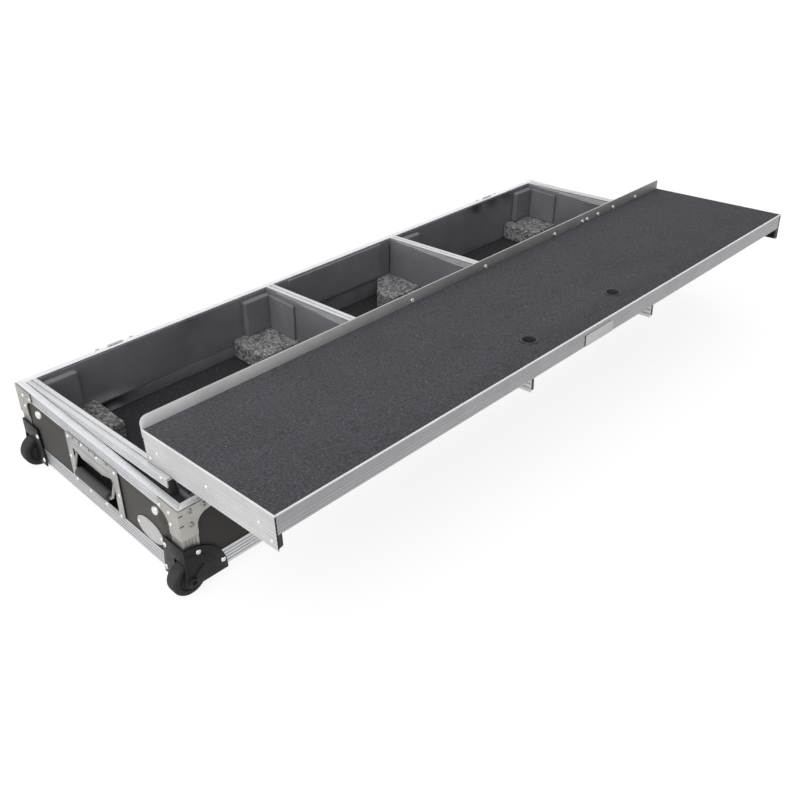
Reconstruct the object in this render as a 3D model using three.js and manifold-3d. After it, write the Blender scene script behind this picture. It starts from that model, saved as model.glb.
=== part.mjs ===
// Touring case for two record players and a mixer, edged in aluminium, with a laptop shelf that slides
// on inclined rails above the bays.
// Millimetres. +X runs along the case to the right, +Y to the back, where the latches show, and +Z up.
// The origin is the middle of the mixer bay's floor, which is the middle of the case.
import * as THREE from 'three';
import { mergeVertices } from 'three/addons/utils/BufferGeometryUtils.js';
import Module from 'manifold-3d';

const wasm = await Module();
wasm.setup();

// Driving dimensions of the case
const CASE_LENGTH = 1509;
const CASE_DEPTH = 500;
const CASE_HEIGHT = 148.5;
const FIT = 0.3;
const OVERRUN = 6;

// Aluminium edging
const EDGE_WALL = 1.6;
const RIM_WIDTH = 12.6;
const RIM_OUTER_DROP = 22.5;
const RIM_INNER_DROP = 16;
const BOTTOM_LEG = 32;
const POST_LEG = 29;
const GROOVE_WIDTH = 1.8;
const GROOVE_DEPTH = 0.6;
const RIM_GROOVES = 3;
const BOTTOM_GROOVES = 4;
const POST_GROOVES = 4;

// Corner brackets
const BRACKET_THICKNESS = 1.5;
const BRACKET_ARM = 52;
const BRACKET_TOP_DROP = 2;
const BRACKET_BAND = 20;
const BRACKET_GAP = 17.5;
const BRACKET_HOLLOW = 22;
const BALL_RADIUS = 17;
const BALL_DEPTH = 9;
const BALL_PLATE = 46;

// Side bolts
const SIDE_BOLT_RADIUS = 8;
const SIDE_BOLT_HEIGHT = 4;
const SIDE_BOLT_INSET = 67;
const SIDE_BOLT_HEIGHT_ON_PANEL = 110;

// Inclined rails and the boards that carry them
const SLOPE = THREE.MathUtils.degToRad(3.43);
const RAIL_WIDTH = 18.6;
const RAIL_WALL = 2.6;
const RAIL_CROWN = 5.4;
const RAIL_FLANGE = 17;
const RAIL_BACK_DROP = 0.3;
const RAIL_SIDE_GROOVES = 3;
const RAIL_FRONT_END = 43;
const END_RAIL_INSET = 22.8;
const DIVIDER_OFFSET = 188.6;
const BOARD_FRONT_DROP = 9;

// Foam lining, pads and blocks
const FOAM_FLOOR = 7;
const FOAM_WALL = 5;
const FOAM_SIDE = 5.5;
const FOAM_TOP_DROP = 2;
const PAD_TOP_DROP = 8.5;
const PAD_LENGTH = 68;
const PAD_THICKNESS = 15.5;
const SIDE_PAD_LENGTH = 80;
const SIDE_PAD_THICKNESS = 7.5;
const BLOCK_HEIGHT = 42;
const BLOCK_LENGTH = 97;
const BLOCK_DEPTH = 104;
const MIXER_BLOCK_CHAMFER = 53;
const MIXER_PAD_MARGIN = 40;
const MIXER_PAD_THICKNESS = 5;
const MIXER_PAD_LIFT = 44;

// Corner wheels and their brackets, measured from the corner of the case
const WHEEL_RADIUS = 30.5;
const WHEEL_WIDTH = 24;
const WHEEL_CROWN = 4;
const WHEEL_HUB_RADIUS = 20;
const WHEEL_HUB_RECESS = 4;
const WHEEL_BOSS_RADIUS = 10;
const WHEEL_SETBACK = 1.5;
const AXLE_X = 6;
const AXLE_Z = 8;
const AXLE_RADIUS = 5;
const AXLE_PLAY = 0.4;
const WHEEL_WELL_PLAY = 2;
const CASTER_PLATE = 3;
const CASTER_REACH = 72;
const CASTER_BOSS = 13;
const CASTER_FLANGE = 60;
const CASTER_WINDOW_TOP = 43;
const CASTER_EMBOSS = 1.2;
const CASTER_EMBOSS_RADIUS = 58;
const CASTER_RIB = 4;
const CASTER_CHEEK = 2.5;
const CASTER_HEAD_RADIUS = 8;
const CASTER_HEAD_HEIGHT = 5;
const CASTER_SOCKET_RADIUS = 4;
const CASTER_SOCKET_DEPTH = 3;

// Rubber feet
const FOOT_RADIUS = 19;
const FOOT_TOE_RADIUS = 16;
const FOOT_INSET = 60;

// Recessed side handles
const HANDLE_PLATE_LENGTH = 164;
const HANDLE_PLATE_HEIGHT = 100;
const HANDLE_PLATE_THICKNESS = 1.5;
const HANDLE_CORNER = 8;
const HANDLE_BOTTOM = 29;
const HANDLE_PAN_LENGTH = 134;
const HANDLE_PAN_HEIGHT = 68;
const HANDLE_PAN_DEPTH = 14;
const HANDLE_PAN_WALL = 1.2;
const HANDLE_PAN_BOTTOM = 36;
const HANDLE_LIP = 2.5;
const HANDLE_NOTCH = 9.5;
const HANDLE_BROW_DROP = 6;
const HANDLE_BROW_RUN = 22;
const HANDLE_EMBOSS = 1;
const HANDLE_EMBOSS_HEIGHT = 18;
const BAIL_ROD_RADIUS = 3;
const BAIL_SPAN = 118;
const BAIL_DROP = 33;
const BAIL_BEND = 7;
const BAIL_PIVOT_DROP = 8;
const BAIL_PIVOT_DEPTH = 3.3;
const BAIL_EYE_RADIUS = 4;
const GRIP_LENGTH = 98;
const GRIP_RADIUS = 9;
const GRIP_END = 2.5;
const GRIP_PROUD = 5.5;

// Recessed twist latches
const LATCH_INSET = 198;
const LATCH_PLATE_LENGTH = 96;
const LATCH_PLATE_BOTTOM = 30;
const LATCH_PLATE_THICKNESS = 1.5;
const LATCH_PAN_LENGTH = 78;
const LATCH_PAN_HEIGHT = 68;
const LATCH_PAN_BOTTOM = 38;
const LATCH_PAN_WALL = 1.2;
const LATCH_WINDOW_RADIUS = 30;
const LATCH_EAR_WIDTH = 8;
const LATCH_EAR_RISE = 1;
const HOOK_WIDTH = 32;
const HOOK_THICKNESS = 1.3;
const HOOK_RISE = 3;
const HOOK_LIP = 4.5;
const HOOK_LIP_THICKNESS = 2;
const HOOK_TAIL = 16;
const HOOK_JOG = 6;
const HOOK_JOG_DROP = 6.5;
const CAM_RADIUS = 8;
const CAM_THROW = 2.2;
const CAM_PLAY = 0.8;
const KNOB_DISC_RADIUS = 13;
const KNOB_DISC_THICKNESS = 1.8;
const KNOB_WING_LENGTH = 36;
const KNOB_WING_WIDTH = 5;
const KNOB_WING_TIP = 12;
const KNOB_SPINDLE_RADIUS = 3;

// Sliding shelf, measured along and across the slope
const SHELF_OVERHANG = 205.7;
const SHELF_DEPTH = 314;
const SHELF_RISE = 55.8;
const DECK_THICKNESS = 14.4;
const CARPET_DROP = 0.7;
const RUNNER_PLATE = 2;
const RUNNER_PLAY = 0.6;
const TONGUE_DEPTH = 2.4;
const TONGUE_FLOOR_PLAY = 0.8;
const RUNNER_FLANGE = 20;
const GLIDE_WIDTH = 6.5;
const SHELF_EDGE_HEIGHT = 32.4;
const SHELF_GROOVES = 4;
const FRONT_GROOVES = 3;
const LIP_HEIGHT = 20.7;
const LIP_THICKNESS = 2;
const LIP_CORNER = 12;
const PORT_OFFSET = 129.5;
const PORT_SETBACK = 53;
const PORT_HOLE_RADIUS = 12;
const PORT_COLLAR_RADIUS = 15.5;
const PORT_COLLAR_RISE = 1.7;

// Sizes that follow from the driving ones
const PANEL = RIM_WIDTH - 2 * EDGE_WALL - 2 * FIT;
const PANEL_FACE = EDGE_WALL + FIT;
const INSIDE = PANEL_FACE + PANEL + FIT;
const HALF_LENGTH = CASE_LENGTH / 2;
const HALF_DEPTH = CASE_DEPTH / 2;
const LATCH_OFFSET = HALF_LENGTH - LATCH_INSET;
const BOARD = RAIL_WIDTH - 2 * (RAIL_WALL + FIT);
const END_RAIL = HALF_LENGTH - END_RAIL_INSET;
const RAIL_CENTRES = [-END_RAIL, -DIVIDER_OFFSET, DIVIDER_OFFSET, END_RAIL];
const RUN = Math.tan(SLOPE);
const RAIL_MIDDLE_TOP = CASE_HEIGHT - RAIL_BACK_DROP + RUN * HALF_DEPTH;
const RAIL_FRONT_Y = RAIL_FRONT_END - HALF_DEPTH;
const RAIL_BACK_Y = HALF_DEPTH - RIM_WIDTH - FIT;
const FOAM_FLOOR_TOP = INSIDE + FOAM_FLOOR;
const FOAM_TOP = CASE_HEIGHT - FOAM_TOP_DROP;
const PAD_TOP = CASE_HEIGHT - PAD_TOP_DROP;
const WHEEL_FAR_FACE = WHEEL_SETBACK + WHEEL_WIDTH;
const CHEEK_FACE = WHEEL_FAR_FACE + WHEEL_SETBACK;
const WELL_X = AXLE_X + WHEEL_RADIUS + WHEEL_WELL_PLAY;
const WELL_Y = CHEEK_FACE + CASTER_CHEEK + FIT;
const WELL_Z = CASTER_WINDOW_TOP;
const GROUND = AXLE_Z - WHEEL_RADIUS;
const CURVE_STEPS = 4;
const ROUND_STEPS = 24;
const SMALL_ROUND_STEPS = 12;
const WHEEL_STEPS = 32;
const BAIL_STEPS = 30;

const finish = (color, roughness, metalness) => ({ color, roughness, metalness });
const ALUMINIUM = finish(0xc6c7ca, 0.34, 0.95);
const RAIL_ALUMINIUM = finish(0xd2d3d6, 0.3, 0.95);
const ZINC = finish(0xa9a59e, 0.42, 0.85);
const LAMINATE = finish(0x4b4642, 0.6, 0.0);
const PLYWOOD = finish(0x3a3836, 0.8, 0.0);
const LINING = finish(0x48484b, 0.9, 0.0);
const BLACK_STEEL = finish(0x1d1d1e, 0.5, 0.4);
const BLACK_RUBBER = finish(0x232324, 0.75, 0.0);
const GREY_RUBBER = finish(0x47464a, 0.7, 0.0);
const CARPET = finish(0x3b3b43, 0.95, 0.0);

// Closed solids made from three.js geometry
function solid(geometry) {
  const bare = geometry.clone();
  bare.deleteAttribute('normal');
  bare.deleteAttribute('uv');
  const merged = mergeVertices(bare);
  return new wasm.Manifold(new wasm.Mesh({
    numProp: 3,
    vertProperties: new Float32Array(merged.attributes.position.array),
    triVerts: new Uint32Array(merged.index.array),
  }));
}

function toGeometry(body) {
  const mesh = body.getMesh();
  const geometry = new THREE.BufferGeometry();
  geometry.setAttribute('position', new THREE.BufferAttribute(new Float32Array(mesh.vertProperties), 3));
  geometry.setIndex(new THREE.BufferAttribute(new Uint32Array(mesh.triVerts), 1));
  geometry.computeVertexNormals();
  return geometry;
}

// The same solid on the other side of the plane through the origin across one axis
function mirrored(body, axis) {
  const mesh = body.getMesh();
  const vertProperties = new Float32Array(mesh.vertProperties);
  for (let i = axis; i < vertProperties.length; i += 3) vertProperties[i] *= -1;
  const triVerts = new Uint32Array(mesh.triVerts);
  for (let i = 0; i < triVerts.length; i += 3) {
    [triVerts[i], triVerts[i + 1]] = [triVerts[i + 1], triVerts[i]];
  }
  return new wasm.Manifold(new wasm.Mesh({ numProp: 3, vertProperties, triVerts }));
}

function moved(body, x, y, z) {
  return solid(toGeometry(body).translate(x, y, z));
}

function turned(body, angle) {
  return solid(toGeometry(body).rotateZ(angle));
}

const X_AXIS = new THREE.Vector3(1, 0, 0);
const Y_AXIS = new THREE.Vector3(0, 1, 0);
const Z_AXIS = new THREE.Vector3(0, 0, 1);
const ALONG_X = new THREE.Matrix4().makeBasis(Y_AXIS, Z_AXIS, X_AXIS);
const ALONG_Y = new THREE.Matrix4().makeBasis(X_AXIS, Z_AXIS, Y_AXIS.clone().negate());

function prismX(shape, from, to, curveSegments = CURVE_STEPS) {
  const geometry = new THREE.ExtrudeGeometry(shape, { depth: to - from, bevelEnabled: false, curveSegments });
  return solid(geometry.applyMatrix4(ALONG_X).translate(from, 0, 0));
}

function prismY(shape, from, to, curveSegments = CURVE_STEPS) {
  const geometry = new THREE.ExtrudeGeometry(shape, { depth: to - from, bevelEnabled: false, curveSegments });
  return solid(geometry.applyMatrix4(ALONG_Y).translate(0, to, 0));
}

function prismZ(shape, from, to, curveSegments = CURVE_STEPS) {
  const geometry = new THREE.ExtrudeGeometry(shape, { depth: to - from, bevelEnabled: false, curveSegments });
  return solid(geometry.translate(0, 0, from));
}

function box(x0, x1, y0, y1, z0, z1) {
  const geometry = new THREE.BoxGeometry(x1 - x0, y1 - y0, z1 - z0);
  return solid(geometry.translate((x0 + x1) / 2, (y0 + y1) / 2, (z0 + z1) / 2));
}

// A turned solid about an axis that runs along Y, its profile given as radius and place along that axis
function turnedAlongY(profile, x, z, steps = ROUND_STEPS) {
  const points = profile.map(([radius, along]) => new THREE.Vector2(radius, along));
  return solid(new THREE.LatheGeometry(points, steps).translate(x, 0, z));
}

function turnedAlongZ(profile, x, y, steps = ROUND_STEPS) {
  const points = profile.map(([radius, along]) => new THREE.Vector2(radius, along));
  return solid(new THREE.LatheGeometry(points, steps).rotateX(Math.PI / 2).translate(x, y, 0));
}

function turnedAlongX(profile, y, z, steps = ROUND_STEPS) {
  const points = profile.map(([radius, along]) => new THREE.Vector2(radius, along));
  return solid(new THREE.LatheGeometry(points, steps).rotateZ(-Math.PI / 2).translate(0, y, z));
}

// Sinks what was built level into the slope of the rails
function sloped(body) {
  const shear = new THREE.Matrix4().set(1, 0, 0, 0, 0, 1, 0, 0, 0, -RUN, 1, 0, 0, 0, 0, 1);
  return solid(toGeometry(body).applyMatrix4(shear));
}

function polygon(points) {
  return new THREE.Shape(points.map(([u, v]) => new THREE.Vector2(u, v)));
}

function roundedRectangle(u0, u1, v0, v1, radius) {
  const shape = new THREE.Shape();
  shape.moveTo(u0 + radius, v0);
  shape.lineTo(u1 - radius, v0);
  shape.absarc(u1 - radius, v0 + radius, radius, -Math.PI / 2, 0, false);
  shape.lineTo(u1, v1 - radius);
  shape.absarc(u1 - radius, v1 - radius, radius, 0, Math.PI / 2, false);
  shape.lineTo(u0 + radius, v1);
  shape.absarc(u0 + radius, v1 - radius, radius, Math.PI / 2, Math.PI, false);
  shape.lineTo(u0, v0 + radius);
  shape.absarc(u0 + radius, v0 + radius, radius, Math.PI, Math.PI * 3 / 2, false);
  return shape;
}

// A face of an extrusion at u, run from v0 to v1, with evenly spaced grooves sunk towards inward
function groovedFace(u, v0, v1, count, inward) {
  const direction = Math.sign(v1 - v0);
  const half = direction * GROOVE_WIDTH / 2;
  const points = [[u, v0]];
  for (let i = 1; i <= count; i++) {
    const middle = v0 + (v1 - v0) * i / (count + 1);
    points.push([u, middle - half], [u + inward * GROOVE_DEPTH, middle - half]);
    points.push([u + inward * GROOVE_DEPTH, middle + half], [u, middle + half]);
  }
  points.push([u, v1]);
  return points;
}

const root = new THREE.Group();
root.position.z = -FOAM_FLOOR_TOP;
const shelf = new THREE.Group();
root.add(shelf);

function piece(name, body, look, parent = root) {
  const mesh = new THREE.Mesh(toGeometry(body), new THREE.MeshStandardMaterial(look));
  mesh.name = name;
  parent.add(mesh);
}

// The space that a corner wheel turns in, for the left corners of the case
function wheelWell(side, clearance) {
  const edge = side * (HALF_DEPTH + OVERRUN);
  const wall = side * (HALF_DEPTH - WELL_Y - clearance);
  return box(-HALF_LENGTH - OVERRUN, WELL_X + clearance - HALF_LENGTH,
    Math.min(edge, wall), Math.max(edge, wall), -OVERRUN, WELL_Z + clearance);
}

function lessWells(body, clearance = 0) {
  return body.subtract(wheelWell(-1, clearance)).subtract(wheelWell(1, clearance));
}

// Plywood panels
function handleHole(side) {
  const from = side * (HALF_LENGTH - INSIDE - OVERRUN);
  const to = side * (HALF_LENGTH + OVERRUN);
  const half = HANDLE_PAN_LENGTH / 2 + FIT;
  return box(Math.min(from, to), Math.max(from, to), -half, half,
    HANDLE_PAN_BOTTOM - FIT, HANDLE_PAN_BOTTOM + HANDLE_PAN_HEIGHT + FIT);
}

function latchHole(x, side) {
  const from = side * (HALF_DEPTH - INSIDE - OVERRUN);
  const to = side * (HALF_DEPTH + OVERRUN);
  const half = LATCH_PAN_LENGTH / 2 + FIT;
  return box(x - half, x + half, Math.min(from, to), Math.max(from, to),
    LATCH_PAN_BOTTOM - FIT, LATCH_PAN_BOTTOM + LATCH_PAN_HEIGHT + FIT);
}

function sideBolt(side, y) {
  const face = PANEL_FACE + EDGE_WALL;
  const profile = [[0, face], [SIDE_BOLT_RADIUS, face], [SIDE_BOLT_RADIUS, 0]];
  for (let i = 1; i <= CURVE_STEPS; i++) {
    const angle = i / CURVE_STEPS * Math.PI / 2;
    const radius = i === CURVE_STEPS ? 0 : SIDE_BOLT_RADIUS * Math.cos(angle);
    profile.push([radius, -SIDE_BOLT_HEIGHT * Math.sin(angle)]);
  }
  const bolt = turnedAlongX(profile.reverse(), y, SIDE_BOLT_HEIGHT_ON_PANEL, SMALL_ROUND_STEPS);
  const placed = moved(bolt, -HALF_LENGTH, 0, 0);
  return side < 0 ? placed : mirrored(placed, 0);
}

function panels() {
  const top = CASE_HEIGHT - EDGE_WALL - FIT;
  const inner = PANEL_FACE + PANEL;
  const endPanel = (side) => {
    const a = side * (HALF_LENGTH - inner);
    const b = side * (HALF_LENGTH - PANEL_FACE);
    const board = box(Math.min(a, b), Math.max(a, b), PANEL_FACE - HALF_DEPTH, HALF_DEPTH - PANEL_FACE,
      PANEL_FACE, top);
    const bolts = sideBolt(side, HALF_DEPTH - SIDE_BOLT_INSET).add(sideBolt(side, SIDE_BOLT_INSET - HALF_DEPTH));
    return lessWells(board.subtract(handleHole(side)).add(bolts));
  };
  piece('left_end_panel', endPanel(-1), LAMINATE);
  piece('right_end_panel', endPanel(1), LAMINATE);
  const longPanel = (side) => {
    const a = side * (HALF_DEPTH - inner);
    const b = side * (HALF_DEPTH - PANEL_FACE);
    const board = box(INSIDE - HALF_LENGTH, HALF_LENGTH - INSIDE, Math.min(a, b), Math.max(a, b),
      PANEL_FACE, top);
    return lessWells(board.subtract(latchHole(-LATCH_OFFSET, side)).subtract(latchHole(LATCH_OFFSET, side)));
  };
  piece('front_panel', longPanel(-1), LAMINATE);
  piece('back_panel', longPanel(1), LAMINATE);
  const bottom = box(INSIDE - HALF_LENGTH, HALF_LENGTH - INSIDE, INSIDE - HALF_DEPTH, HALF_DEPTH - INSIDE,
    PANEL_FACE, inner);
  piece('bottom_panel', lessWells(bottom), LAMINATE);
}

// Mitred aluminium edging, built along X with its outer face at y = 0 and turned to each side
function mitred(profile, length, width) {
  const half = length / 2;
  const bar = prismX(polygon(profile), -half, half);
  const gap = FIT / 2;
  const cutter = prismZ(polygon([
    [half - gap + OVERRUN, -OVERRUN], [half + width + OVERRUN, -OVERRUN],
    [half + width + OVERRUN, width + OVERRUN], [half - gap - width - OVERRUN, width + OVERRUN],
  ]), -OVERRUN, CASE_HEIGHT + OVERRUN);
  return bar.subtract(cutter).subtract(mirrored(cutter, 0));
}

function aroundCase(nameEnd, profile, width, trim, look) {
  const sides = [
    ['front', CASE_LENGTH, 0, [0, -HALF_DEPTH]],
    ['right', CASE_DEPTH, Math.PI / 2, [HALF_LENGTH, 0]],
    ['back', CASE_LENGTH, Math.PI, [0, HALF_DEPTH]],
    ['left', CASE_DEPTH, -Math.PI / 2, [-HALF_LENGTH, 0]],
  ];
  for (const [side, length, angle, [x, y]] of sides) {
    const bar = moved(turned(mitred(profile, length, width), angle), x, y, 0);
    piece(`${side}_${nameEnd}`, trim(bar), look);
  }
}

function rims() {
  const bottom = CASE_HEIGHT - RIM_OUTER_DROP;
  const profile = [
    ...groovedFace(0, CASE_HEIGHT, bottom, RIM_GROOVES, 1),
    [EDGE_WALL, bottom],
    [EDGE_WALL, CASE_HEIGHT - EDGE_WALL],
    [RIM_WIDTH - EDGE_WALL, CASE_HEIGHT - EDGE_WALL],
    [RIM_WIDTH - EDGE_WALL, CASE_HEIGHT - RIM_INNER_DROP],
    [RIM_WIDTH, CASE_HEIGHT - RIM_INNER_DROP],
    [RIM_WIDTH, CASE_HEIGHT],
  ];
  const slotHalf = HOOK_WIDTH / 2 + FIT;
  const slot = (x, side) => {
    const a = side * (HALF_DEPTH - EDGE_WALL - FIT);
    const b = side * (HALF_DEPTH + OVERRUN);
    return box(x - slotHalf, x + slotHalf, Math.min(a, b), Math.max(a, b), bottom - OVERRUN,
      CASE_HEIGHT + OVERRUN);
  };
  const trim = (bar) => {
    let cut = bar;
    for (const side of [-1, 1]) {
      for (const x of [-LATCH_OFFSET, LATCH_OFFSET]) cut = cut.subtract(slot(x, side));
    }
    return cut;
  };
  aroundCase('rim', profile, RIM_WIDTH, trim, ALUMINIUM);
}

function bottomAngles() {
  const profile = [
    ...groovedFace(0, BOTTOM_LEG, 0, BOTTOM_GROOVES, 1),
    [BOTTOM_LEG, 0],
    [BOTTOM_LEG, EDGE_WALL],
    [EDGE_WALL, EDGE_WALL],
    [EDGE_WALL, BOTTOM_LEG],
  ];
  aroundCase('bottom_angle', profile, BOTTOM_LEG, (bar) => lessWells(bar), ALUMINIUM);
}

// Corner posts, built at the corner with both outer faces on the axes, with their brackets fused on
function bracketOutline() {
  const top = CASE_HEIGHT - BRACKET_TOP_DROP;
  const bottom = CASTER_REACH + BRACKET_GAP;
  const outer = -BRACKET_THICKNESS - FIT;
  const bandBottom = top - BRACKET_BAND;
  const hollow = Math.min(BRACKET_HOLLOW, bandBottom - bottom - BRACKET_THICKNESS);
  const shape = new THREE.Shape();
  shape.moveTo(outer, bottom);
  shape.lineTo(POST_LEG, bottom);
  shape.lineTo(POST_LEG, bandBottom - hollow);
  shape.absarc(POST_LEG + hollow, bandBottom - hollow, hollow, Math.PI, Math.PI / 2, true);
  shape.lineTo(BRACKET_ARM, bandBottom);
  shape.lineTo(BRACKET_ARM, top);
  shape.lineTo(outer, top);
  return shape;
}

function cornerPost(postBottom) {
  const postTop = CASE_HEIGHT - RIM_OUTER_DROP - FIT;
  const front = groovedFace(0, 0, POST_LEG, POST_GROOVES, 1).map(([u, v]) => [v, u]);
  const side = groovedFace(0, POST_LEG, 0, POST_GROOVES, 1);
  const angle = prismZ(polygon([
    ...front, [POST_LEG, EDGE_WALL], [EDGE_WALL, EDGE_WALL], [EDGE_WALL, POST_LEG], ...side.slice(0, -1),
  ]), postBottom, postTop);
  const outer = -BRACKET_THICKNESS - FIT;
  const onFront = prismY(bracketOutline(), outer, -FIT);
  const onSide = prismX(bracketOutline(), outer, -FIT);
  const bracketBottom = CASTER_REACH + BRACKET_GAP;
  const seat = EDGE_WALL / 2;
  const frontSeat = box(-FIT, POST_LEG, outer, seat, bracketBottom, postTop);
  const sideSeat = box(outer, seat, -FIT, POST_LEG, bracketBottom, postTop);
  return angle.add(onFront).add(onSide).add(frontSeat).add(sideSeat);
}

// A ball corner for the bottom of a right-hand corner
function ballCorner() {
  const ball = solid(new THREE.SphereGeometry(BALL_RADIUS, SMALL_ROUND_STEPS, SMALL_ROUND_STEPS / 2)
    .translate(BALL_DEPTH, BALL_DEPTH, BALL_DEPTH));
  const outer = -BRACKET_THICKNESS - FIT;
  const plate = roundedRectangle(outer, BALL_PLATE, outer, BALL_PLATE, HANDLE_CORNER);
  const plates = prismX(plate, outer, -FIT, 2).add(prismY(plate, outer, -FIT, 2))
    .add(prismZ(plate, outer, -FIT, 2));
  const inside = box(-FIT, BALL_PLATE + OVERRUN, -FIT, BALL_PLATE + OVERRUN, -FIT, BALL_PLATE + OVERRUN);
  return ball.add(plates).subtract(inside);
}

function cornerPosts() {
  const wheeled = cornerPost(WELL_Z + FIT);
  const plain = cornerPost(BOTTOM_LEG + FIT);
  const link = box(-FIT - BRACKET_THICKNESS, EDGE_WALL, -FIT - BRACKET_THICKNESS, POST_LEG / 2,
    BOTTOM_LEG + FIT, BALL_PLATE - HANDLE_CORNER);
  const sideOnly = link.subtract(box(EDGE_WALL / 2, POST_LEG, EDGE_WALL / 2, POST_LEG, 0, CASE_HEIGHT));
  const balled = plain.add(ballCorner()).add(sideOnly);
  const atLeft = moved(wheeled, -HALF_LENGTH, -HALF_DEPTH, 0);
  const atRight = mirrored(moved(balled, -HALF_LENGTH, -HALF_DEPTH, 0), 0);
  piece('front_left_corner_post', atLeft, ZINC);
  piece('back_left_corner_post', mirrored(atLeft, 1), ZINC);
  piece('front_right_corner_post', atRight, ZINC);
  piece('back_right_corner_post', mirrored(atRight, 1), ZINC);
}

// Boards under the rails, and the rails that straddle them
function railBoards() {
  const names = ['left_support_wall', 'left_divider', 'right_divider', 'right_support_wall'];
  const slopedTop = RAIL_MIDDLE_TOP - RAIL_CROWN - FIT;
  RAIL_CENTRES.forEach((x, i) => {
    const level = box(x - BOARD / 2, x + BOARD / 2, -RAIL_BACK_Y, RAIL_BACK_Y, -CASE_HEIGHT, slopedTop);
    const below = box(x - BOARD, x + BOARD, -CASE_DEPTH, CASE_DEPTH, -CASE_HEIGHT * 2, INSIDE);
    const nose = box(x - BOARD, x + BOARD, -CASE_DEPTH, RAIL_FRONT_Y, CASE_HEIGHT - BOARD_FRONT_DROP,
      CASE_HEIGHT * 2);
    piece(names[i], lessWells(sloped(level).subtract(below).subtract(nose), FIT), PLYWOOD);
  });
}

function rails() {
  const names = ['left_rail', 'left_divider_rail', 'right_divider_rail', 'right_rail'];
  const half = RAIL_WIDTH / 2;
  const inner = half - RAIL_WALL;
  const grooveHalf = RUNNER_PLATE / 2 + RUNNER_PLAY;
  const grooveDepth = TONGUE_DEPTH + TONGUE_FLOOR_PLAY;
  const profile = [
    ...groovedFace(-half, 0, -RAIL_FLANGE, RAIL_SIDE_GROOVES, 1),
    [-inner, -RAIL_FLANGE],
    [-inner, -RAIL_CROWN],
    [inner, -RAIL_CROWN],
    [inner, -RAIL_FLANGE],
    ...groovedFace(half, -RAIL_FLANGE, 0, RAIL_SIDE_GROOVES, -1),
    [grooveHalf, 0],
    [grooveHalf, -grooveDepth],
    [-grooveHalf, -grooveDepth],
    [-grooveHalf, 0],
  ];
  const bar = prismY(polygon(profile), RAIL_FRONT_Y, RAIL_BACK_Y);
  RAIL_CENTRES.forEach((x, i) => {
    piece(names[i], sloped(moved(bar, x, 0, RAIL_MIDDLE_TOP)), RAIL_ALUMINIUM);
  });
}

function railClearance(x) {
  const half = RAIL_WIDTH / 2 + FIT;
  return sloped(box(x - half, x + half, RAIL_FRONT_Y - FIT, CASE_DEPTH,
    RAIL_MIDDLE_TOP - RAIL_FLANGE - FIT, RAIL_MIDDLE_TOP + CASE_HEIGHT));
}

// Foam insert of one bay: floor, walls, corner pads and blocks glued into one piece
function bayShell(left, right) {
  const y = HALF_DEPTH - INSIDE;
  const outer = box(left + FIT, right - FIT, -y, y, INSIDE, FOAM_TOP);
  const inner = box(left + FIT + FOAM_SIDE, right - FIT - FOAM_SIDE, FOAM_WALL - y, y - FOAM_WALL,
    FOAM_FLOOR_TOP, CASE_HEIGHT);
  return outer.subtract(inner);
}

function bayCorners(left, right) {
  const x0 = left + FIT + FOAM_SIDE;
  const x1 = right - FIT - FOAM_SIDE;
  const y = HALF_DEPTH - INSIDE - FOAM_WALL;
  const sink = FOAM_SIDE / 2;
  const blockTop = FOAM_FLOOR_TOP + BLOCK_HEIGHT;
  let corner = box(x0 - sink, x0 + PAD_LENGTH, y - PAD_THICKNESS, y + sink, blockTop - sink, PAD_TOP);
  corner = corner.add(box(x0 - sink, x0 + SIDE_PAD_THICKNESS, y - PAD_THICKNESS - SIDE_PAD_LENGTH, y + sink,
    blockTop - sink, PAD_TOP));
  corner = corner.add(box(x0 - sink, x0 + BLOCK_LENGTH, y - BLOCK_DEPTH, y + sink,
    FOAM_FLOOR_TOP - sink, blockTop));
  const middle = (x0 + x1) / 2;
  const other = moved(mirrored(moved(corner, -middle, 0, 0), 0), middle, 0, 0);
  const back = corner.add(other);
  return back.add(mirrored(back, 1));
}

function mixerCorners(left, right) {
  const x0 = left + FIT + FOAM_SIDE;
  const x1 = right - FIT - FOAM_SIDE;
  const y = HALF_DEPTH - INSIDE - FOAM_WALL;
  const sink = FOAM_SIDE / 2;
  const block = prismZ(polygon([
    [x1 + sink, y + sink], [x1 + sink, y - BLOCK_DEPTH], [x1 - BLOCK_LENGTH, y - BLOCK_DEPTH],
    [x1 - BLOCK_LENGTH, y - MIXER_BLOCK_CHAMFER], [x1 - BLOCK_LENGTH + MIXER_BLOCK_CHAMFER, y],
    [x1 - BLOCK_LENGTH + MIXER_BLOCK_CHAMFER, y + sink],
  ]), FOAM_FLOOR_TOP - sink, FOAM_FLOOR_TOP + BLOCK_HEIGHT);
  const middle = (x0 + x1) / 2;
  const back = block.add(moved(mirrored(moved(block, -middle, 0, 0), 0), middle, 0, 0));
  const pad = box(left + MIXER_PAD_MARGIN, right - MIXER_PAD_MARGIN, y - MIXER_PAD_THICKNESS, y + sink,
    FOAM_FLOOR_TOP + MIXER_PAD_LIFT, FOAM_TOP);
  return back.add(mirrored(back, 1)).add(pad);
}

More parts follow.
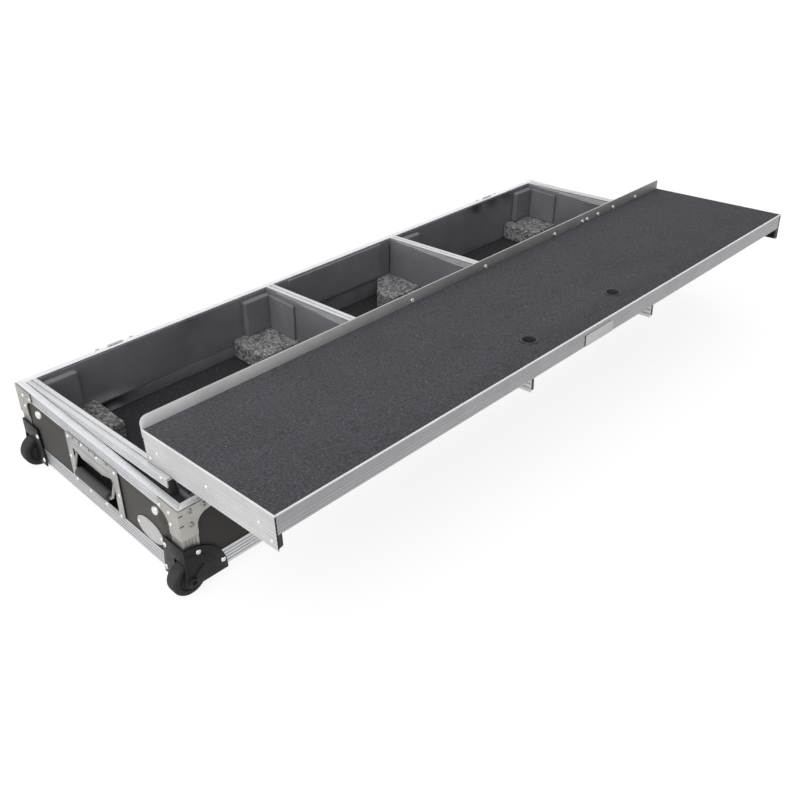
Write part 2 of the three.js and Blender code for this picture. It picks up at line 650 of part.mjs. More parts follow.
function foam() {
  const rimStrip = (side) => {
    const a = side * (HALF_DEPTH - RIM_WIDTH - FIT);
    const b = side * HALF_DEPTH;
    return box(-HALF_LENGTH, HALF_LENGTH, Math.min(a, b), Math.max(a, b),
      CASE_HEIGHT - RIM_INNER_DROP - FIT, CASE_HEIGHT);
  };
  const bays = [['left_bay_foam', bayCorners], ['mixer_bay_foam', mixerCorners], ['right_bay_foam', bayCorners]];
  bays.forEach(([name, corners], i) => {
    const left = RAIL_CENTRES[i] + BOARD / 2;
    const right = RAIL_CENTRES[i + 1] - BOARD / 2;
    let body = bayShell(left, right).add(corners(left, right));
    body = body.subtract(rimStrip(-1)).subtract(rimStrip(1));
    body = body.subtract(railClearance(RAIL_CENTRES[i])).subtract(railClearance(RAIL_CENTRES[i + 1]));
    piece(name, lessWells(body, FIT), LINING);
  });
}

// Corner wheel and its pressed bracket, built for the front left corner with the corner at the origin
function casterPlateOutline() {
  const outer = -CASTER_PLATE - FIT;
  const shape = new THREE.Shape();
  const bottom = AXLE_Z - CASTER_BOSS;
  const foot = Math.asin(bottom / CASTER_REACH);
  shape.moveTo(AXLE_X, bottom);
  shape.lineTo(CASTER_REACH * Math.cos(foot), bottom);
  shape.absarc(0, 0, CASTER_REACH, foot, Math.acos(outer / CASTER_REACH), false);
  shape.lineTo(outer, CASTER_WINDOW_TOP);
  shape.lineTo(AXLE_X - CASTER_BOSS, AXLE_Z);
  shape.absarc(AXLE_X, AXLE_Z, CASTER_BOSS, Math.PI, Math.PI * 3 / 2, false);
  return shape;
}

function casterRib(x0, z0, x1, z1) {
  const dx = x1 - x0;
  const dz = z1 - z0;
  const length = Math.hypot(dx, dz);
  const nx = -dz / length * CASTER_RIB / 2;
  const nz = dx / length * CASTER_RIB / 2;
  const face = -CASTER_PLATE - FIT;
  const outline = [[x0 + nx, z0 + nz], [x1 + nx, z1 + nz], [x1 - nx, z1 - nz], [x0 - nx, z0 - nz]];
  return prismY(polygon(outline), face - 2 * CASTER_EMBOSS, -FIT - CASTER_PLATE / 2);
}

function casterBracket() {
  const face = -CASTER_PLATE - FIT;
  const bottom = AXLE_Z - CASTER_BOSS;
  const plate = prismY(casterPlateOutline(), face, -FIT, ROUND_STEPS / 2);
  const swell = new THREE.Shape();
  swell.moveTo(-FIT, CASTER_WINDOW_TOP / 2);
  swell.absarc(0, 0, CASTER_EMBOSS_RADIUS, CASTER_RIB / CASTER_EMBOSS_RADIUS, Math.PI / 2, false);
  const emboss = prismY(swell, face - CASTER_EMBOSS, -FIT - CASTER_PLATE / 2);
  const ribEnd = CASTER_EMBOSS_RADIUS / 2;
  const risingRib = casterRib(AXLE_X + CASTER_BOSS / 2, AXLE_Z + CASTER_BOSS / 2, ribEnd, ribEnd);
  const flange = prismX(polygon([
    [face, CASTER_WINDOW_TOP], [CHEEK_FACE, CASTER_WINDOW_TOP], [CHEEK_FACE, bottom],
    [CASTER_FLANGE, bottom], [CASTER_FLANGE, CASTER_REACH], [face, CASTER_REACH],
  ]), face, -FIT);
  const cheek = box(face, WELL_X - WHEEL_WELL_PLAY, CHEEK_FACE, CHEEK_FACE + CASTER_CHEEK,
    bottom, CASTER_WINDOW_TOP - FIT);
  const head = CASTER_HEAD_RADIUS;
  const headFace = face - CASTER_HEAD_HEIGHT;
  const axle = turnedAlongY([
    [0, headFace + CASTER_SOCKET_DEPTH], [CASTER_SOCKET_RADIUS, headFace + CASTER_SOCKET_DEPTH],
    [CASTER_SOCKET_RADIUS, headFace], [head - CASTER_EMBOSS, headFace], [head, headFace + CASTER_EMBOSS],
    [head, -FIT - CASTER_PLATE / 2], [AXLE_RADIUS, -FIT - CASTER_PLATE / 2],
    [AXLE_RADIUS, CHEEK_FACE + CASTER_CHEEK / 2], [0, CHEEK_FACE + CASTER_CHEEK / 2],
  ], AXLE_X, AXLE_Z, SMALL_ROUND_STEPS);
  return plate.add(emboss).add(risingRib).add(flange).add(cheek).add(axle);
}

function wheel() {
  const r = WHEEL_RADIUS;
  const near = WHEEL_SETBACK;
  const far = WHEEL_FAR_FACE;
  const bore = AXLE_RADIUS + AXLE_PLAY;
  return turnedAlongY([
    [bore, near], [WHEEL_BOSS_RADIUS, near], [WHEEL_BOSS_RADIUS, near + WHEEL_HUB_RECESS],
    [WHEEL_HUB_RADIUS, near + WHEEL_HUB_RECESS], [WHEEL_HUB_RADIUS, near], [r - WHEEL_CROWN, near],
    [r, near + WHEEL_CROWN], [r, far - WHEEL_CROWN], [r - WHEEL_CROWN, far], [WHEEL_HUB_RADIUS, far],
    [WHEEL_HUB_RADIUS, far - WHEEL_HUB_RECESS], [WHEEL_BOSS_RADIUS, far - WHEEL_HUB_RECESS],
    [WHEEL_BOSS_RADIUS, far], [bore, far], [bore, near],
  ], AXLE_X, AXLE_Z, WHEEL_STEPS);
}

function casters() {
  const bracket = moved(casterBracket(), -HALF_LENGTH, -HALF_DEPTH, 0);
  const roller = moved(wheel(), -HALF_LENGTH, -HALF_DEPTH, 0);
  piece('front_wheel_bracket', bracket, BLACK_STEEL);
  piece('back_wheel_bracket', mirrored(bracket, 1), BLACK_STEEL);
  piece('front_wheel', roller, BLACK_RUBBER);
  piece('back_wheel', mirrored(roller, 1), BLACK_RUBBER);
}

function feet() {
  const x = HALF_LENGTH - FOOT_INSET;
  const y = HALF_DEPTH - FOOT_INSET;
  const top = PANEL_FACE - FIT;
  const chamfer = FOOT_RADIUS - FOOT_TOE_RADIUS;
  const profile = [[0, GROUND], [FOOT_TOE_RADIUS, GROUND], [FOOT_RADIUS, GROUND + chamfer], [FOOT_RADIUS, top],
    [0, top]];
  piece('front_foot', turnedAlongZ(profile.map(([r, z]) => [r, z]), x, -y), BLACK_RUBBER);
  piece('back_foot', turnedAlongZ(profile.map(([r, z]) => [r, z]), x, y), BLACK_RUBBER);
}

// Recessed handle for the left end, with the outer face of the case at x = 0
function handleDish() {
  const face = -HANDLE_PLATE_THICKNESS - FIT;
  const halfPan = HANDLE_PAN_LENGTH / 2;
  const panTop = HANDLE_PAN_BOTTOM + HANDLE_PAN_HEIGHT;
  const halfPlate = HANDLE_PLATE_LENGTH / 2;
  const plateTop = HANDLE_BOTTOM + HANDLE_PLATE_HEIGHT;
  const outline = roundedRectangle(-halfPlate, halfPlate, HANDLE_BOTTOM, plateTop, HANDLE_CORNER);
  const u = halfPan - HANDLE_LIP;
  const v0 = HANDLE_PAN_BOTTOM + HANDLE_LIP;
  const v1 = panTop - HANDLE_LIP;
  const brow = v1 - HANDLE_BROW_DROP;
  const notch = u - HANDLE_NOTCH;
  const browHalf = notch - HANDLE_BROW_RUN;
  const opening = polygon([
    [-u, v0], [u, v0], [u, v1], [notch, v1], [browHalf, brow], [-browHalf, brow], [-notch, v1], [-u, v1],
  ]);
  const pressed = polygon([
    [-browHalf, brow], [browHalf, brow], [notch, brow + HANDLE_EMBOSS_HEIGHT],
    [-notch, brow + HANDLE_EMBOSS_HEIGHT],
  ]);
  const emboss = prismX(pressed, face - HANDLE_EMBOSS, face / 2);
  const plate = prismX(outline, face, -FIT);
  const pan = box(face, HANDLE_PAN_DEPTH, -halfPan, halfPan, HANDLE_PAN_BOTTOM, panTop);
  const wall = HANDLE_PAN_WALL;
  const hollow = box(-FIT, HANDLE_PAN_DEPTH - wall, wall - halfPan, halfPan - wall,
    HANDLE_PAN_BOTTOM + wall, panTop - wall);
  return plate.add(emboss).add(pan).subtract(hollow).subtract(prismX(opening, face - OVERRUN, wall));
}

function handleBail() {
  const pivot = HANDLE_PAN_BOTTOM + HANDLE_PAN_HEIGHT - BAIL_PIVOT_DROP;
  const low = pivot - BAIL_DROP;
  const half = BAIL_SPAN / 2;
  const pinEnd = HANDLE_PAN_LENGTH / 2 - HANDLE_PAN_WALL - FIT;
  const lean = (BAIL_PIVOT_DEPTH + GRIP_PROUD) / BAIL_DROP;
  const at = (y, z) => new THREE.Vector3(lean * (z - low) - GRIP_PROUD, y, z);
  const bend = low + BAIL_BEND;
  const path = new THREE.CurvePath();
  path.add(new THREE.LineCurve3(at(-half, pivot), at(-half, bend)));
  path.add(new THREE.QuadraticBezierCurve3(at(-half, bend), at(-half, low), at(BAIL_BEND - half, low)));
  path.add(new THREE.LineCurve3(at(BAIL_BEND - half, low), at(half - BAIL_BEND, low)));
  path.add(new THREE.QuadraticBezierCurve3(at(half - BAIL_BEND, low), at(half, low), at(half, bend)));
  path.add(new THREE.LineCurve3(at(half, bend), at(half, pivot)));
  const section = new THREE.Shape().absarc(0, 0, BAIL_ROD_RADIUS, 0, Math.PI * 2, false);
  const rod = solid(new THREE.ExtrudeGeometry(section, { extrudePath: path, steps: BAIL_STEPS, curveSegments: CURVE_STEPS }));
  const pin = turnedAlongY([[0, -pinEnd], [BAIL_ROD_RADIUS, -pinEnd], [BAIL_ROD_RADIUS, -half], [0, -half]],
    BAIL_PIVOT_DEPTH, pivot, SMALL_ROUND_STEPS);
  const eye = turnedAlongY([
    [0, -half - BAIL_ROD_RADIUS], [BAIL_EYE_RADIUS, -half - BAIL_ROD_RADIUS],
    [BAIL_EYE_RADIUS, BAIL_ROD_RADIUS - half], [0, BAIL_ROD_RADIUS - half],
  ], BAIL_PIVOT_DEPTH, pivot, SMALL_ROUND_STEPS);
  const end = pin.add(eye);
  return rod.add(end).add(mirrored(end, 1));
}

function handleGrip() {
  const z = HANDLE_PAN_BOTTOM + HANDLE_PAN_HEIGHT - BAIL_PIVOT_DROP - BAIL_DROP;
  const half = GRIP_LENGTH / 2;
  const bore = BAIL_ROD_RADIUS + FIT;
  const round = GRIP_RADIUS - GRIP_END;
  return turnedAlongY([
    [bore, -half], [round, -half], [GRIP_RADIUS, GRIP_END - half], [GRIP_RADIUS, half - GRIP_END],
    [round, half], [bore, half], [bore, -half],
  ], -GRIP_PROUD, z, SMALL_ROUND_STEPS);
}

function handles() {
  const parts = [
    ['handle_dish', handleDish(), ZINC],
    ['handle_bail', handleBail(), ZINC],
    ['handle_grip', handleGrip(), GREY_RUBBER],
  ];
  for (const [name, body, look] of parts) {
    const placed = moved(body, -HALF_LENGTH, 0, 0);
    piece(`left_${name}`, placed, look);
    piece(`right_${name}`, mirrored(placed, 0), look);
  }
}

// Twist latch, built for the front with the outer face of the case at y = 0 and the case behind it.
// The knob's round cam turns in the wide window of the hook and lifts it by twice its throw. The hook
// slides up and down in the dish and jogs forward to pass outside the rim.
const KNOB_Z = LATCH_PAN_BOTTOM + LATCH_PAN_HEIGHT / 2;
const HOOK_BACK = PANEL_FACE - FIT / 2;

function latchDish() {
  const face = -LATCH_PLATE_THICKNESS - FIT;
  const halfPlate = LATCH_PLATE_LENGTH / 2;
  const plateTop = CASE_HEIGHT - EDGE_WALL;
  const outline = roundedRectangle(-halfPlate, halfPlate, LATCH_PLATE_BOTTOM, plateTop, HANDLE_CORNER);
  const window = new THREE.Path().absarc(0, KNOB_Z, LATCH_WINDOW_RADIUS, 0, Math.PI * 2, true);
  outline.holes.push(window);
  const plate = prismY(outline, face, -FIT);
  const earTop = CASE_HEIGHT + LATCH_EAR_RISE;
  const earRoot = CASE_HEIGHT - RIM_OUTER_DROP;
  const ear = box(halfPlate - HANDLE_CORNER - LATCH_EAR_WIDTH, halfPlate - HANDLE_CORNER, face, -FIT,
    earRoot, earTop);
  const halfPan = LATCH_PAN_LENGTH / 2;
  const wall = LATCH_PAN_WALL;
  const depth = INSIDE - FIT;
  const panTop = LATCH_PAN_BOTTOM + LATCH_PAN_HEIGHT;
  const pan = box(-halfPan, halfPan, face / 2 - FIT, depth, LATCH_PAN_BOTTOM, panTop);
  const hollow = box(wall - halfPan, halfPan - wall, face - OVERRUN, depth - wall, LATCH_PAN_BOTTOM + wall,
    panTop - wall);
  const hookWay = box(-HOOK_WIDTH / 2 - FIT, HOOK_WIDTH / 2 + FIT, -FIT, HOOK_BACK + FIT / 2,
    panTop - wall - FIT, panTop + OVERRUN);
  const spindleHole = turnedAlongY([
    [0, 0], [KNOB_SPINDLE_RADIUS + FIT, 0], [KNOB_SPINDLE_RADIUS + FIT, INSIDE + OVERRUN],
    [0, INSIDE + OVERRUN]], 0, KNOB_Z, SMALL_ROUND_STEPS);
  const tray = pan.subtract(hollow);
  return plate.add(tray).add(ear).add(mirrored(ear, 0)).subtract(hookWay).subtract(spindleHole);
}

function latchHook() {
  const front = HOOK_BACK - HOOK_THICKNESS;
  const half = HOOK_WIDTH / 2;
  const top = CASE_HEIGHT + HOOK_RISE;
  const camMiddle = KNOB_Z - CAM_THROW;
  const jogTop = LATCH_PAN_BOTTOM + LATCH_PAN_HEIGHT - HOOK_JOG_DROP;
  const outline = polygon([
    [-half, camMiddle - HOOK_TAIL], [half, camMiddle - HOOK_TAIL], [half, jogTop], [-half, jogTop],
  ]);
  const reach = CAM_RADIUS + CAM_PLAY;
  const slide = CAM_THROW;
  const window = new THREE.Path();
  window.absarc(slide, camMiddle, reach, -Math.PI / 2, Math.PI / 2, false);
  window.absarc(-slide, camMiddle, reach, Math.PI / 2, Math.PI * 3 / 2, false);
  outline.holes.push(window);
  const plate = prismY(outline, front + HOOK_JOG, HOOK_BACK + HOOK_JOG, CURVE_STEPS + CURVE_STEPS);
  const upper = prismX(polygon([
    [front, jogTop - HOOK_THICKNESS], [HOOK_BACK + HOOK_JOG, jogTop - HOOK_THICKNESS],
    [HOOK_BACK + HOOK_JOG, jogTop], [HOOK_BACK, jogTop], [HOOK_BACK, top - HOOK_LIP_THICKNESS],
    [front + HOOK_LIP, top - HOOK_LIP_THICKNESS], [front + HOOK_LIP, top], [front, top],
  ]), -half, half);
  return plate.add(upper);
}

function latchKnob() {
  const face = -LATCH_PLATE_THICKNESS - FIT;
  const discBack = HOOK_BACK + HOOK_JOG - HOOK_THICKNESS - FIT;
  const discFront = discBack - KNOB_DISC_THICKNESS;
  const camMiddle = KNOB_Z - CAM_THROW;
  const disc = turnedAlongY([
    [0, discFront], [KNOB_DISC_RADIUS, discFront], [KNOB_DISC_RADIUS, discBack], [0, discBack],
  ], 0, KNOB_Z, 2 * CURVE_STEPS * 2);
  const camEnd = HOOK_BACK + HOOK_JOG + FIT;
  const cam = turnedAlongY([[0, discFront], [CAM_RADIUS, discFront], [CAM_RADIUS, camEnd], [0, camEnd]],
    0, camMiddle, 2 * CURVE_STEPS * 2);
  const spindle = turnedAlongY([
    [0, discFront], [KNOB_SPINDLE_RADIUS, discFront], [KNOB_SPINDLE_RADIUS, INSIDE - FIT], [0, INSIDE - FIT],
  ], 0, KNOB_Z, SMALL_ROUND_STEPS);
  const half = KNOB_WING_LENGTH / 2;
  const waist = KNOB_WING_WIDTH / 2;
  const tip = KNOB_WING_TIP / 2;
  const wing = new THREE.Shape();
  wing.moveTo(-half, KNOB_Z - tip);
  wing.quadraticCurveTo(-waist, KNOB_Z - waist, 0, KNOB_Z - waist);
  wing.quadraticCurveTo(waist, KNOB_Z - waist, half, KNOB_Z - tip);
  wing.lineTo(half, KNOB_Z + tip);
  wing.quadraticCurveTo(waist, KNOB_Z + waist, 0, KNOB_Z + waist);
  wing.quadraticCurveTo(-waist, KNOB_Z + waist, -half, KNOB_Z + tip);
  const wings = prismY(wing, face, discBack);
  return disc.add(cam).add(spindle).add(wings);
}

function latches() {
  const parts = [
    ['latch_dish', latchDish(), ZINC],
    ['latch_hook', latchHook(), ZINC],
    ['latch_knob', latchKnob(), ZINC],
  ];
  for (const [end, x] of [['left', -LATCH_OFFSET], ['right', LATCH_OFFSET]]) {
    for (const [name, body, look] of parts) {
      const placed = moved(body, x, -HALF_DEPTH, 0);
      piece(`front_${end}_${name}`, placed, look);
      piece(`back_${end}_${name}`, mirrored(placed, 1), look);
    }
  }
}

// Sliding shelf, in its own frame: y runs down the slope from the front edge, z = 0 lies on the rails
const PLATE_LEFT = -END_RAIL - RUNNER_PLATE / 2;
const PLATE_RIGHT = END_RAIL + RUNNER_PLATE / 2;
const CARPET_TOP = SHELF_RISE - CARPET_DROP;
const DECK_BOTTOM = CARPET_TOP - DECK_THICKNESS;

function shelfDeck() {
  const x0 = PLATE_LEFT + RUNNER_PLATE + FIT;
  const x1 = PLATE_RIGHT - RUNNER_PLATE - FIT;
  const y0 = RUNNER_PLATE + FIT;
  const y1 = SHELF_DEPTH - LIP_THICKNESS - FIT;
  let deck = box(x0, x1, y0, y1, DECK_BOTTOM, CARPET_TOP);
  RAIL_CENTRES.forEach((x, i) => {
    const side = i === RAIL_CENTRES.length - 1 ? -1 : 1;
    const near = x + side * (RUNNER_PLATE / 2 + FIT);
    const far = near + side * GLIDE_WIDTH;
    deck = deck.add(box(Math.min(near, far), Math.max(near, far), y0, y1, FIT, DECK_BOTTOM + FIT));
  });
  for (const x of [-PORT_OFFSET, PORT_OFFSET]) {
    const collarTop = CARPET_TOP + PORT_COLLAR_RISE;
    deck = deck.add(turnedAlongZ([
      [0, DECK_BOTTOM], [PORT_COLLAR_RADIUS, DECK_BOTTOM], [PORT_COLLAR_RADIUS, collarTop], [0, collarTop],
    ], x, PORT_SETBACK));
    deck = deck.subtract(turnedAlongZ([
      [0, DECK_BOTTOM - OVERRUN], [PORT_HOLE_RADIUS, DECK_BOTTOM - OVERRUN],
      [PORT_HOLE_RADIUS, collarTop + OVERRUN], [0, collarTop + OVERRUN],
    ], x, PORT_SETBACK));
  }
  return deck;
}

function runnerProfile(x) {
  const face = x - RUNNER_PLATE / 2;
  const flangeTop = DECK_BOTTOM - FIT;
  return [
    ...groovedFace(face, flangeTop - EDGE_WALL, -TONGUE_DEPTH, SHELF_GROOVES, 1),
    [face + RUNNER_PLATE, -TONGUE_DEPTH],
    [face + RUNNER_PLATE, flangeTop],
    [face - RUNNER_FLANGE, flangeTop],
    [face - RUNNER_FLANGE, flangeTop - EDGE_WALL],
  ];
}

function shelfSidePlate() {
  const face = PLATE_LEFT;
  const profile = [
    ...groovedFace(face, SHELF_RISE, -TONGUE_DEPTH, SHELF_GROOVES, 1),
    [face + RUNNER_PLATE, -TONGUE_DEPTH],
    [face + RUNNER_PLATE, SHELF_RISE],
  ];
  return prismY(polygon(profile), 0, SHELF_DEPTH - LIP_THICKNESS - FIT);
}

function shelfFrontEdge() {
  const profile = [
    ...groovedFace(0, SHELF_RISE, SHELF_RISE - SHELF_EDGE_HEIGHT, FRONT_GROOVES, 1),
    [RUNNER_PLATE, SHELF_RISE - SHELF_EDGE_HEIGHT],
    [RUNNER_PLATE, SHELF_RISE],
  ];
  return prismX(polygon(profile), PLATE_LEFT + RUNNER_PLATE + FIT, PLATE_RIGHT - RUNNER_PLATE - FIT);
}

function shelfLip() {
  const x0 = PLATE_LEFT;
  const x1 = PLATE_RIGHT;
  const top = SHELF_RISE + LIP_HEIGHT;
  const bottom = DECK_BOTTOM;
  const outline = new THREE.Shape();
  outline.moveTo(x0, bottom);
  outline.lineTo(x1, bottom);
  outline.lineTo(x1, top);
  outline.lineTo(x0 + LIP_CORNER, top);
  outline.absarc(x0 + LIP_CORNER, top - LIP_CORNER, LIP_CORNER, Math.PI / 2, Math.PI, false);
  return prismY(outline, SHELF_DEPTH - LIP_THICKNESS, SHELF_DEPTH);
}

function slidingShelf() {
  shelf.position.y = -HALF_DEPTH - SHELF_OVERHANG;
  shelf.position.z = RAIL_MIDDLE_TOP - RUN * shelf.position.y;
  shelf.rotation.x = -SLOPE;
  const runnerLength = SHELF_DEPTH - LIP_THICKNESS - FIT;
  const start = RUNNER_PLATE + FIT;
  const runner = (x) => prismY(polygon(runnerProfile(x)), start, runnerLength);
  piece('shelf_deck', shelfDeck(), CARPET, shelf);
  piece('shelf_left_side_plate', shelfSidePlate(), ALUMINIUM, shelf);
  piece('shelf_right_side_plate', mirrored(shelfSidePlate(), 0), ALUMINIUM, shelf);
  piece('shelf_left_runner_plate', runner(-DIVIDER_OFFSET), ALUMINIUM, shelf);
  piece('shelf_right_runner_plate', runner(DIVIDER_OFFSET), ALUMINIUM, shelf);
  piece('shelf_front_edge', shelfFrontEdge(), ALUMINIUM, shelf);
  piece('shelf_back_lip', shelfLip(), ALUMINIUM, shelf);
}

panels();
rims();
bottomAngles();
cornerPosts();
railBoards();
rails();
foam();
casters();
feet();
handles();
latches();
slidingShelf();

export default root;
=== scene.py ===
import math

import bmesh
import bpy
from mathutils import Matrix, Vector, noise


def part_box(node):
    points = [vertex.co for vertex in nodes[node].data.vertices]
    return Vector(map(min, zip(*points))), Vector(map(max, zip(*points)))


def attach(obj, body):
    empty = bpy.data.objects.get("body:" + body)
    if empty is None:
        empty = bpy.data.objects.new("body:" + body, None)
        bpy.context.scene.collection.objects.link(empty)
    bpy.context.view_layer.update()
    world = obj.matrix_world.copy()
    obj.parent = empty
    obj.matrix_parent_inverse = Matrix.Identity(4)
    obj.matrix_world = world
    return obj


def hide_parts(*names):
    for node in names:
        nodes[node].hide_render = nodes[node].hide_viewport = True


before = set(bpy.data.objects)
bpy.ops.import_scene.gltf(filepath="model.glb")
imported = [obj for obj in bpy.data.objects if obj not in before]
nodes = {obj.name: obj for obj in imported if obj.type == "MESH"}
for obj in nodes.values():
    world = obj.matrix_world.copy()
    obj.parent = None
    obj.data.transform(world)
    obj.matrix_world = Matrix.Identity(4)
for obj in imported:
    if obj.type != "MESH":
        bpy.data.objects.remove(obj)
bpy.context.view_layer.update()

scene = bpy.context.scene
scene.view_settings.view_transform = "Standard"

# The camera stands in front of the wheeled end, a little above the shelf, as the photograph was taken.
# Its place was found from the case's own corners, and is given from the middle of the case's underside.
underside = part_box("bottom_panel")[0].z
camera_place = Vector((-1.26099, -1.17257, 0.99501 + underside))
camera_azimuth = math.radians(-45.599)
camera_elevation = math.radians(32.224)
camera_roll = math.radians(-0.268)
back = Vector((
    math.sin(camera_azimuth) * math.cos(camera_elevation),
    -math.cos(camera_azimuth) * math.cos(camera_elevation),
    math.sin(camera_elevation),
))
right = (-back).cross(Vector((0, 0, 1))).normalized()
up = right.cross(-back)
roll = Matrix.Rotation(camera_roll, 3, -back)
camera_axes = Matrix((roll @ right, roll @ up, back)).transposed()
camera_data = bpy.data.cameras.new("camera")
camera_data.lens = 40.63
camera_data.sensor_width = 36
camera_data.shift_x = 0.0139
camera_data.shift_y = -0.0160
camera = bpy.data.objects.new("camera", camera_data)
camera.matrix_world = Matrix.Translation(camera_place) @ camera_axes.to_4x4()
scene.collection.objects.link(camera)
scene.camera = camera


# The studio: a white room that is brightest above and beyond the wheeled end, one broad soft lamp on that
# side, and a floor that shows white to the camera and to bright metal and still takes the case's shadow.
def wire(tree, kind, inputs=None, **settings):
    part = tree.nodes.new(kind)
    for key, value in settings.items():
        setattr(part, key, value)
    for key, value in (inputs or {}).items():
        if isinstance(value, bpy.types.NodeSocket):
            tree.links.new(value, part.inputs[key])
        else:
            part.inputs[key].default_value = value
    return part


def seen_directly(tree):
    path = wire(tree, "ShaderNodeLightPath")
    mirror = wire(tree, "ShaderNodeMath", {
        0: path.outputs["Is Glossy Ray"], 1: path.outputs["Is Transmission Ray"],
    }, operation="MAXIMUM")
    seen = wire(tree, "ShaderNodeMath", {
        0: path.outputs["Is Camera Ray"], 1: mirror.outputs[0],
    }, operation="MAXIMUM")
    return seen.outputs[0]


def rectangle(u_ends, v_ends):
    (u0, u1), (v0, v1) = sorted(u_ends), sorted(v_ends)
    return [(u0, v0), (u1, v0), (u1, v1), (u0, v1)]


room_light = 0.85
room = bpy.data.worlds.new("room")
room.use_nodes = True
room_background = room.node_tree.nodes["Background"]
room_background.inputs["Color"].default_value = (1, 1, 1, 1)
toward_light = (-0.62, 0.40, 0.68)
room_lean = wire(room.node_tree, "ShaderNodeVectorMath", {
    0: wire(room.node_tree, "ShaderNodeTexCoord").outputs["Generated"], 1: toward_light,
}, operation="DOT_PRODUCT")
room_shade = wire(room.node_tree, "ShaderNodeMapRange", {
    "Value": room_lean.outputs["Value"], "From Min": -0.45, "From Max": 0.75,
    "To Min": 0.09, "To Max": room_light,
})
room_strength = wire(room.node_tree, "ShaderNodeMapRange", {
    "Value": seen_directly(room.node_tree), "To Min": room_shade.outputs[0], "To Max": 1.0,
})
room.node_tree.links.new(room_strength.outputs[0], room_background.inputs["Strength"])
scene.world = room

lamp_data = bpy.data.lights.new("soft_lamp", "AREA")
lamp_data.size = 4.0
lamp_data.energy = 62
lamp = bpy.data.objects.new("soft_lamp", lamp_data)
lamp_place = Vector((-3.2, -1.3, 3.2))
lamp.matrix_world = Matrix.Translation(lamp_place) @ lamp_place.to_track_quat("Z", "Y").to_matrix().to_4x4()
scene.collection.objects.link(lamp)

floor_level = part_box("front_foot")[0].z
floor_ends = (-9, 9)
floor_mesh = bpy.data.meshes.new("floor")
floor_mesh.from_pydata([
    (x, y, floor_level) for x, y in rectangle(floor_ends, floor_ends)
], [], [(0, 1, 2, 3)])
floor = bpy.data.objects.new("floor", floor_mesh)
scene.collection.objects.link(floor)
paper = bpy.data.materials.new("floor_paper")
paper.use_nodes = True
paper.node_tree.nodes.clear()
paper_base = wire(paper.node_tree, "ShaderNodeBsdfDiffuse", {"Color": (0.25, 0.25, 0.25, 1)})
paper_lift = wire(paper.node_tree, "ShaderNodeMath", {
    0: seen_directly(paper.node_tree), 1: 0.86,
}, operation="MULTIPLY")
paper_glow = wire(paper.node_tree, "ShaderNodeEmission", {"Strength": paper_lift.outputs[0]})
paper_both = wire(paper.node_tree, "ShaderNodeAddShader", {
    0: paper_base.outputs[0], 1: paper_glow.outputs[0],
})
wire(paper.node_tree, "ShaderNodeOutputMaterial", {"Surface": paper_both.outputs[0]})
floor_mesh.materials.append(paper)


# The walls and the bottom: plywood faced with a dark matt laminate, cut square and held by the edging.
# The end walls carry two domed nickel bolts each, and the wheeled end a bare oval badge.
case_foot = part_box("front_bottom_angle")[0].z
half_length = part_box("right_rim")[1].x
half_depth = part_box("back_rim")[1].y
panel_face = 0.0019


def effect(name, takes, gives, kind_of_tree="ShaderNodeTree"):
    group = bpy.data.node_groups.new(name, kind_of_tree)
    for label, kind, value in takes:
        socket = group.interface.new_socket(label, in_out="INPUT", socket_type="NodeSocket" + kind)
        if value is not None:
            socket.default_value = value
    for label, kind in gives:
        group.interface.new_socket(label, in_out="OUTPUT", socket_type="NodeSocket" + kind)
    return group, wire(group, "NodeGroupInput").outputs, wire(group, "NodeGroupOutput").inputs


def toned(tree, colour, mask, depth):
    centred = wire(tree, "ShaderNodeMath", {0: mask, 1: 2.0, 2: -1.0}, operation="MULTIPLY_ADD")
    tone = wire(tree, "ShaderNodeMath", {0: centred.outputs[0], 1: depth, 2: 1.0}, operation="MULTIPLY_ADD")
    shaded = wire(tree, "ShaderNodeVectorMath", {0: colour, "Scale": tone.outputs[0]}, operation="SCALE")
    return shaded.outputs[0]


cloudy_wear, taken, given = effect("cloudy wear", (
    ("Coordinates", "Vector", None), ("Cloud Size", "Float", 0.08), ("Depth", "Float", 0.1),
    ("Colour", "Color", (1, 1, 1, 1)),
), (("Colour", "Color"), ("Mask", "Float")))
cloud_scale = wire(cloudy_wear, "ShaderNodeMath", {0: 1.0, 1: taken["Cloud Size"]}, operation="DIVIDE")
cloud = wire(cloudy_wear, "ShaderNodeTexNoise", {
    "Vector": taken["Coordinates"], "Scale": cloud_scale.outputs[0], "Detail": 5.0, "Roughness": 0.62,
})
cloud_mask = wire(cloudy_wear, "ShaderNodeMapRange", {
    "Value": cloud.outputs["Fac"], "From Min": 0.3, "From Max": 0.7,
})
clouded = toned(cloudy_wear, taken["Colour"], cloud_mask.outputs[0], taken["Depth"])
cloudy_wear.links.new(clouded, given["Colour"])
cloudy_wear.links.new(cloud_mask.outputs[0], given["Mask"])


def new_finish(name, roughness, metallic=0.0, **fixed):
    finish = bpy.data.materials.new(name)
    finish.use_nodes = True
    tree = finish.node_tree
    shader = tree.nodes["Principled BSDF"]
    shader.inputs["Roughness"].default_value = roughness
    shader.inputs["Metallic"].default_value = metallic
    for key, value in fixed.items():
        shader.inputs[key.replace("_", " ")].default_value = value
    return finish, tree, shader, wire(tree, "ShaderNodeTexCoord").outputs["Object"]


def placed_effect(tree, group, **values):
    inputs = {key.replace("_", " "): value for key, value in values.items()}
    return wire(tree, "ShaderNodeGroup", inputs, node_tree=group).outputs


def raise_relief(tree, shader, height, strength, depth):
    relief = wire(tree, "ShaderNodeBump", {"Height": height, "Strength": strength, "Distance": depth})
    tree.links.new(relief.outputs[0], shader.inputs["Normal"])


